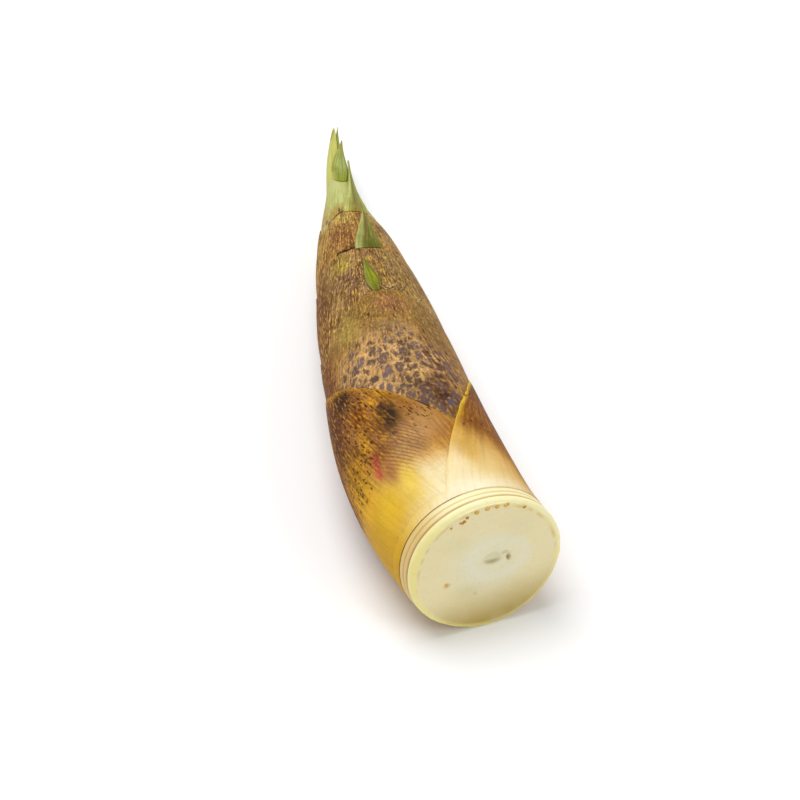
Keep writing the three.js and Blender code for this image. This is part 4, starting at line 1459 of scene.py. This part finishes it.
# Painted highlight: the rounded edge of the rim at the cut is painted paler where it catches the light, and
# yellower on the left.
RIM_TONE, RIM_EDGE_HIGHLIGHT, RIM_EDGE_HIGHLIGHT_LEFT = "F6EAB0", "FBF2B8", "F8E98A"
SEAM_RADIUS, SEAM_HALF, SEAM_TONE = 25.5, 0.8, "D8AE50"  # between the flesh and the rim
RIM_LEFT, RIM_LOWER, GROOVE_TONE = "E0BC66", "DCC67A", "A46E2A"
BESIDE_RIM = "F6DC92"  # the bare strip of the stem between the rim and the leaves
FACE_TOUCHES = [  # right, up, half width, half height, colour, strength
    (-15.0, -4.6, 1.8, 1.6, "E0A83C", 0.95), (-4.8, -11.5, 1.4, 1.0, "D6D070", 0.6),
    (-8, -9, 9, 5, "D8D09A", 0.5), (12, 14, 9, 8, "E6D9A8", 0.5), (-11, 12, 8, 6, "E4D8A0", 0.5),
]
KNIFE_WAVES = [(0.05, 0.55, 0.9, 0), (0.03, -0.4, 1.7, 1)]  # mm high, turn a mm right and up, start
KNIFE_LEVEL, DISH = 0.08, 0.25  # mm that the face lies in from the cut: everywhere, and in the middle
PIT_CORE = 0.35  # the even bottom of a pit, as a share of it
OUTER_FROM, OUTER_OVER = 5, 14  # mm from the middle, where the outer tone of the face comes in
HALO_RIGHT, HALO_UP, HALO_WIDER, HALO_RADIUS, HALO_HALF = 4, 2, 1.3, 8, 3  # an oval ring round the pith
LOWER_FROM, LOWER_SLOPE, LOWER_OVER = 5, 0.12, 24  # where the olive lower part, with its painted shade, comes in
FACE_EDGE_HIGHLIGHT_FROM, FACE_EDGE_HIGHLIGHT_OVER = 25.3, 0.8  # the outermost of the face takes the yellow painted highlight of the rim's edge
SEAM_UP, SEAM_UP_OVER = -4, 12  # the seam shows on the upper part alone
SEAM_PATCHES, SEAM_BENDS, SEAM_BEND = 23, 7, 2  # waves round, that break the seam into patches
PITH_ABOVE, PITH_DEPTH = -2, 0.8  # pits above this are the pith's, full from this depth
PITH_SECOND, PITH_SECOND_LOW, SHADE_OVER = 6, 0.6, 1.6  # right of this lies the small second hole
HALO_STRENGTH, LOWER_OLIVE_AND_SHADE_STRENGTH, FACE_EDGE_HIGHLIGHT_STRENGTH, SEAM_STRENGTH = 0.5, 0.9, 0.5, 0.7
PITH_STRENGTH, SHADE_STRENGTH = 0.7, 0.85


def oval(right, up, middle_right, middle_up, half_width, half_height):
    """0 in the middle of an oval on the face, and 1 on its border."""
    return np.hypot((right - middle_right) / half_width, (up - middle_up) / half_height)


def pit_depth(right, up):
    depth = np.zeros_like(right)
    for *shape, deep in PITS:
        away = oval(right, up, *shape)
        depth = np.maximum(depth, deep * (1 - smooth((away - PIT_CORE) / (1 - PIT_CORE))))
    return depth


def pith_shade(right, up):
    """1 in the crescent of shade at the lower edge of the pith hole."""
    first = PITH_CURVE * (right - PITH_RIGHT) ** 2 * (right < PITH_SECOND)
    second = PITH_SECOND_LOW * (right > PITH_SECOND)
    return smooth((PITH_LOW + first + second - up) / SHADE_OVER)


def paint_face(right, up, radius, angle, depth):
    turn = np.radians(angle)
    wash = touch(colour(FACE_MIDDLE), smooth((radius - OUTER_FROM) / OUTER_OVER), FACE_OUTER)
    from_pith = oval(right, up, HALO_RIGHT, HALO_UP, HALO_WIDER, 1)
    halo = smooth(1 - np.abs(from_pith - HALO_RADIUS) / HALO_HALF)
    wash = touch(wash, HALO_STRENGTH * halo, FACE_HALO)
    for *shape, code, strength in FACE_TOUCHES:
        wash = touch(wash, strength * (1 - smooth(oval(right, up, *shape))), code)
    # Painted shade with an olive cast: the face turns darker and olive towards its lower edge.
    lower = smooth((-up - LOWER_FROM + LOWER_SLOPE * right) / LOWER_OVER)
    wash = touch(wash, LOWER_OLIVE_AND_SHADE_STRENGTH * lower, FACE_LOWER_OLIVE_AND_SHADE)
    # Painted highlight on the outermost ring of the face, where the cut edge catches the light.
    wash = touch(wash, FACE_EDGE_HIGHLIGHT_STRENGTH * smooth((radius - FACE_EDGE_HIGHLIGHT_FROM) / FACE_EDGE_HIGHLIGHT_OVER), RIM_EDGE_HIGHLIGHT_LEFT)
    patchy = 0.5 + 0.5 * np.sin(turn * SEAM_PATCHES + SEAM_BEND * np.sin(turn * SEAM_BENDS))
    seam = smooth(1 - np.abs(radius - SEAM_RADIUS) / SEAM_HALF) * smooth((up - SEAM_UP) / SEAM_UP_OVER)
    wash = touch(wash, SEAM_STRENGTH * seam * patchy, SEAM_TONE)
    pith = (up > PITH_ABOVE) * smooth(depth / PITH_DEPTH)
    wash = touch(wash, PITH_STRENGTH * pith, PITH_TONE)
    return touch(wash, SHADE_STRENGTH * pith * pith_shade(right, up), PITH_SHADE)


def face_rings():
    radius = np.append(np.arange(FACE_RING, FACE_RADIUS - 0.1, FACE_RING), FACE_RADIUS)[:, None]
    radius, angle = np.broadcast_arrays(radius, angles_round(STEM_COLUMNS))
    right, up = radius * np.cos(np.radians(angle)), radius * np.sin(np.radians(angle))
    knife = sum(high * np.sin(per_right * right + per_up * up + start)
                for high, per_right, per_up, start in KNIFE_WAVES)
    dish = DISH * (1 - (radius / FACE_RADIUS) ** 2)
    depth = pit_depth(right, up)
    along = np.maximum(0, (knife + KNIFE_LEVEL) * (radius < FACE_RADIUS - 1)) + dish + depth
    return along, angle, radius, paint_face(right, up, radius, angle, depth)


print("pits in the face:", len(PITS))

# %% The rim round the cut
RIM_LOWER_FROM, RIM_LOWER_TO = 70, 150  # degrees from the top of the rim, where its lower tone comes in
RIM_TOP = 100
RIM_LEFT_ANGLE, RIM_LEFT_ALONG = (105, 45), (2, 1.5)  # from, and over
RIM_HIGHLIGHT_ANGLE, RIM_HIGHLIGHT_ALONG = (95, 60), (1.0, 1.4)
RIM_LEFT_STRENGTH, RIM_HIGHLIGHT_STRENGTH = 0.9, 0.8
NICKS_UP_TO = 2  # mm along: the rim is ragged at the cut alone


def rim_rings():
    def comes_in(value, start, over):
        return smooth((value - start) / over)

    table = np.array(RIM)[1:]
    along = table[:, :1] + np.zeros(STEM_COLUMNS)
    angle = np.broadcast_to(angles_round(STEM_COLUMNS), along.shape)
    nicks = sum(size * np.sin(waves * np.radians(angle) + waves) for waves, size in RIM_RAGGED)
    radius = body_radius(along) + unevenness(along, angle) - table[:, 1:]
    radius = radius + nicks * (1 - smooth(along / NICKS_UP_TO))
    from_top = np.abs(degrees_from(angle, RIM_TOP))
    lower = comes_in(from_top, RIM_LOWER_FROM, RIM_LOWER_TO - RIM_LOWER_FROM)
    wash = touch(colour(RIM_TONE), lower, RIM_LOWER)
    left = comes_in(angle, *RIM_LEFT_ANGLE) * comes_in(along, *RIM_LEFT_ALONG)
    wash = touch(wash, RIM_LEFT_STRENGTH * left, RIM_LEFT)
    # A painted highlight along the rounded edge at the cut, where the rim catches the light, yellower on the
    # left.
    edge = touch(colour(RIM_EDGE_HIGHLIGHT), comes_in(angle, *RIM_HIGHLIGHT_ANGLE), RIM_EDGE_HIGHLIGHT_LEFT)
    wash = mix(wash, edge, RIM_HIGHLIGHT_STRENGTH * (1 - comes_in(along, *RIM_HIGHLIGHT_ALONG))[..., None])
    for middle, half_width, strength in RIM_LINES:
        wash = touch(wash, strength * (1 - smooth(np.abs(along - middle) / half_width)), GROOVE_TONE)
    return along, angle, radius, wash


print("rings on the rim:", len(RIM) - 1)

# %% The stepped cone inside the sheaths
HIDDEN_STEP = 4.0
BESIDE_RIM_FROM, BESIDE_RIM_TO = 9, 12  # mm along, where its tone gives way to that of the flesh


def hidden_rings():
    angle = angles_round(STEM_COLUMNS)
    nodes = [wrap["node"] - GAP for wrap in WRAPS] + [INNER_NODE - GAP]
    rows = []
    for index, (step, next_step) in enumerate(zip(nodes, nodes[1:])):
        count = max(2, round((next_step - step) / HIDDEN_STEP) + 1)
        rows += [(along, skin(index + 1, along, angle)) for along in np.linspace(step, next_step, count)]
    rows.append((nodes[-1], growing_point_radius(nodes[-1]) + 0 * angle))
    rows.append((GROWING_POINT, GROWING_RADIUS + 0 * angle))
    along = np.array([row[0] for row in rows])[:, None] + 0 * angle
    radius = np.array([row[1] for row in rows])
    angle = np.broadcast_to(angle, along.shape)
    near = smooth((BESIDE_RIM_TO - along) / (BESIDE_RIM_TO - BESIDE_RIM_FROM))
    return along, angle, radius, touch(colour(FACE_OUTER), near, BESIDE_RIM)


def make_stem():
    along, angle, radius, wash = (
        np.concatenate(parts) for parts in zip(face_rings(), rim_rings(), hidden_rings())
    )
    face_middle = place(KNIFE_LEVEL + DISH, 0, 0)[None]
    stem_tip = place(GROWING_POINT + GROWING_RADIUS, 0, 0)[None]
    points = np.concatenate([place(along, angle, radius).reshape(-1, 3), face_middle, stem_tip])
    wash = np.concatenate([wash.reshape(-1, 3), colour(FACE_MIDDLE)[None], colour(FACE_OUTER)[None]])
    faces = solid_faces(len(along), STEM_COLUMNS)
    piece = make_object("stem", points, faces, {"wash": with_alpha(wash)})
    piece.data.materials.append(FINISHES["flesh"])
    return piece


pieces["stem"] = make_stem()
print("faces of the stem:", len(pieces["stem"].data.polygons))

# %% [markdown]
# ## Root scars
# Where the rim meets the face a few tiny root tips were cut through. Each is a small round bead, half
# sunk in the flesh. The tree sets one on every point it is given, so the points alone say where the
# scars are: a known row at the top of the rim and a few seeded ones elsewhere.

# %% The scar tree and its points
SCAR_SIZE, SMALLEST_SCAR, SCAR_ALONG = 0.85, 0.5, 0.25
SCAR_ROW = [  # angle, radius
    (122, 24.2), (113.5, 23.6), (112, 23.0), (110, 23.4), (106.5, 24.4), (98, 24.8), (89, 25.0), (81, 25.2),
]
STRAY_SCARS, STRAY_SEED = 3, 4
STRAY_ANGLES, STRAY_RADII = (30, 75), (25.6, 26.3)


def make_scars_tree():
    tree, given, result = new_group(
        "root scars", "GeometryNodeTree",
        [("Geometry", GEOMETRY, None), ("Size", FLOAT, 0.0007), ("Seed", WHOLE, 1),
         ("Material", MATERIAL, None)],
        [("Geometry", GEOMETRY)],
    )
    bead = add(tree, "GeometryNodeMeshIcoSphere", {"Radius": given["Size"], "Subdivisions": 3}).outputs[0]
    size = random_size(tree, SMALLEST_SCAR, given["Seed"])
    points = add(tree, "GeometryNodeMeshToPoints", {0: given["Geometry"]}).outputs[0]
    placed = add(
        tree, "GeometryNodeInstanceOnPoints", {"Points": points, "Instance": bead, "Scale": size},
    ).outputs[0]
    close_tree(tree, placed, given["Material"], result)
    return tree


def make_scars():
    draw = np.random.default_rng(STRAY_SEED)
    strays = [(draw.uniform(*STRAY_ANGLES), draw.uniform(*STRAY_RADII)) for _ in range(STRAY_SCARS)]
    spots = np.array(SCAR_ROW + strays)
    piece = make_object("root_scars", place(SCAR_ALONG, spots[:, 0], spots[:, 1]), [], {})
    return run_tree(piece, make_scars_tree(), Size=SCAR_SIZE * MM, Material=FINISHES["root_scar"])


pieces["root_scars"] = make_scars()
print("triangles in the scars:", sum(len(p.vertices) - 2 for p in pieces["root_scars"].data.polygons))

# %% [markdown]
# ## Down and bristles
# Fine down covers the exposed sheaths, and stiffer bristles stand beside the foot of each blade. Both
# come from the same tree with other values. The down grows on the sheath itself. The bristles grow on
# a narrow ribbon along the sheath's edge, which the tree leaves out of its result.

# %% Down
DOWN = {"Density": 90000.0, "Length": 1.1 * MM, "Thickness": 0.035 * MM, "Rise": 0.35, "Spread": 0.35}
DOWNY = [f"sheath_{number}" for number in range(3, 9)]


def make_down(name, seed):
    piece = put_in_scene(name.replace("sheath", "down"), pieces[name].data.copy())
    return run_tree(piece, FIBRES, Seed=seed, Material=FINISHES["down"], **DOWN)


for seed, name in enumerate(DOWNY):
    made = make_down(name, seed)
    pieces[made.name] = made
    print(made.name, len(made.data.polygons), "faces")

# %% Bristles beside the blades
BRISTLES = {"Density": 2600000.0, "Length": 3.4 * MM, "Thickness": 0.07 * MM, "Rise": 0.22, "Spread": 0.5}
FRAYED = {"blade_3": {"Length": 10.0 * MM, "Thickness": 0.3 * MM, "Rise": 0.12, "Spread": 0.8}}
RIBBON_WIDTH, RIBBON_STEPS, BRISTLE_REACH = 0.5, 60, 34.0
RIBBON_SUNK, RIBBON_RAISED = -0.1, 0.1  # mm from the skin: bristles root below it, frayed fibres above
UNDER_BLADE, BARE_OVER = 0.8, 2.0  # bristles start under the blade's edge, over so many degrees


def make_bristles(blade, seed):
    wrap = WRAPS[blade["sheath"] - 1]
    blade_half = math.degrees(blade["width"] / 2 / body_radius(float(wrap["tip"])))
    reach = blade_half + BRISTLE_REACH
    angle = blade["facing"] + np.linspace(-reach, reach, RIBBON_STEPS)
    along = top_edge(wrap, angle) - np.array([[RIBBON_WIDTH], [0.0]])
    angle = np.broadcast_to(angle, along.shape)
    frayed = blade["name"] in FRAYED
    height = RIBBON_RAISED if frayed else RIBBON_SUNK
    points = place(along, angle, skin(blade["sheath"] - 1, along, angle) + height)
    away = np.abs(angle - blade["facing"])
    past_blade = smooth((away - UNDER_BLADE * blade_half) / BARE_OVER)
    hairy = past_blade * (1 - smooth((away - blade_half) / BRISTLE_REACH))
    if frayed:  # the edge is torn on the right of the blade alone
        hairy = hairy * (angle < blade["facing"])
    values = {"ahead": ahead_of(along, angle), "hairy": hairy}
    piece = make_object(f"bristles_{blade['sheath']}", points, grid_faces(2, RIBBON_STEPS, False), values)
    values = {**BRISTLES, **FRAYED.get(blade["name"], {})}
    finish = FINISHES["frayed_fibre" if frayed else "dry_fibre"]
    return run_tree(piece, FIBRES, Seed=seed, Material=finish, **values)


for seed, blade in enumerate(BLADES):
    made = make_bristles(blade, seed)
    pieces[made.name] = made
    print(made.name, len(made.data.polygons), "faces")

# %% [markdown]
# ## Into the frame
# Each piece rides on the one body. A finer piece replaces the CAD node that it stands for, which stays
# in the physics model.

# %% Bodies, slots and replaced nodes
SLOTS = {part["node"]: part["material_slot"] for part in frame["record"]["subparts"]}

for name, piece in pieces.items():
    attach(piece, BODY)
    if name in SLOTS:
        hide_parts(name)
print("pieces:", len(pieces))
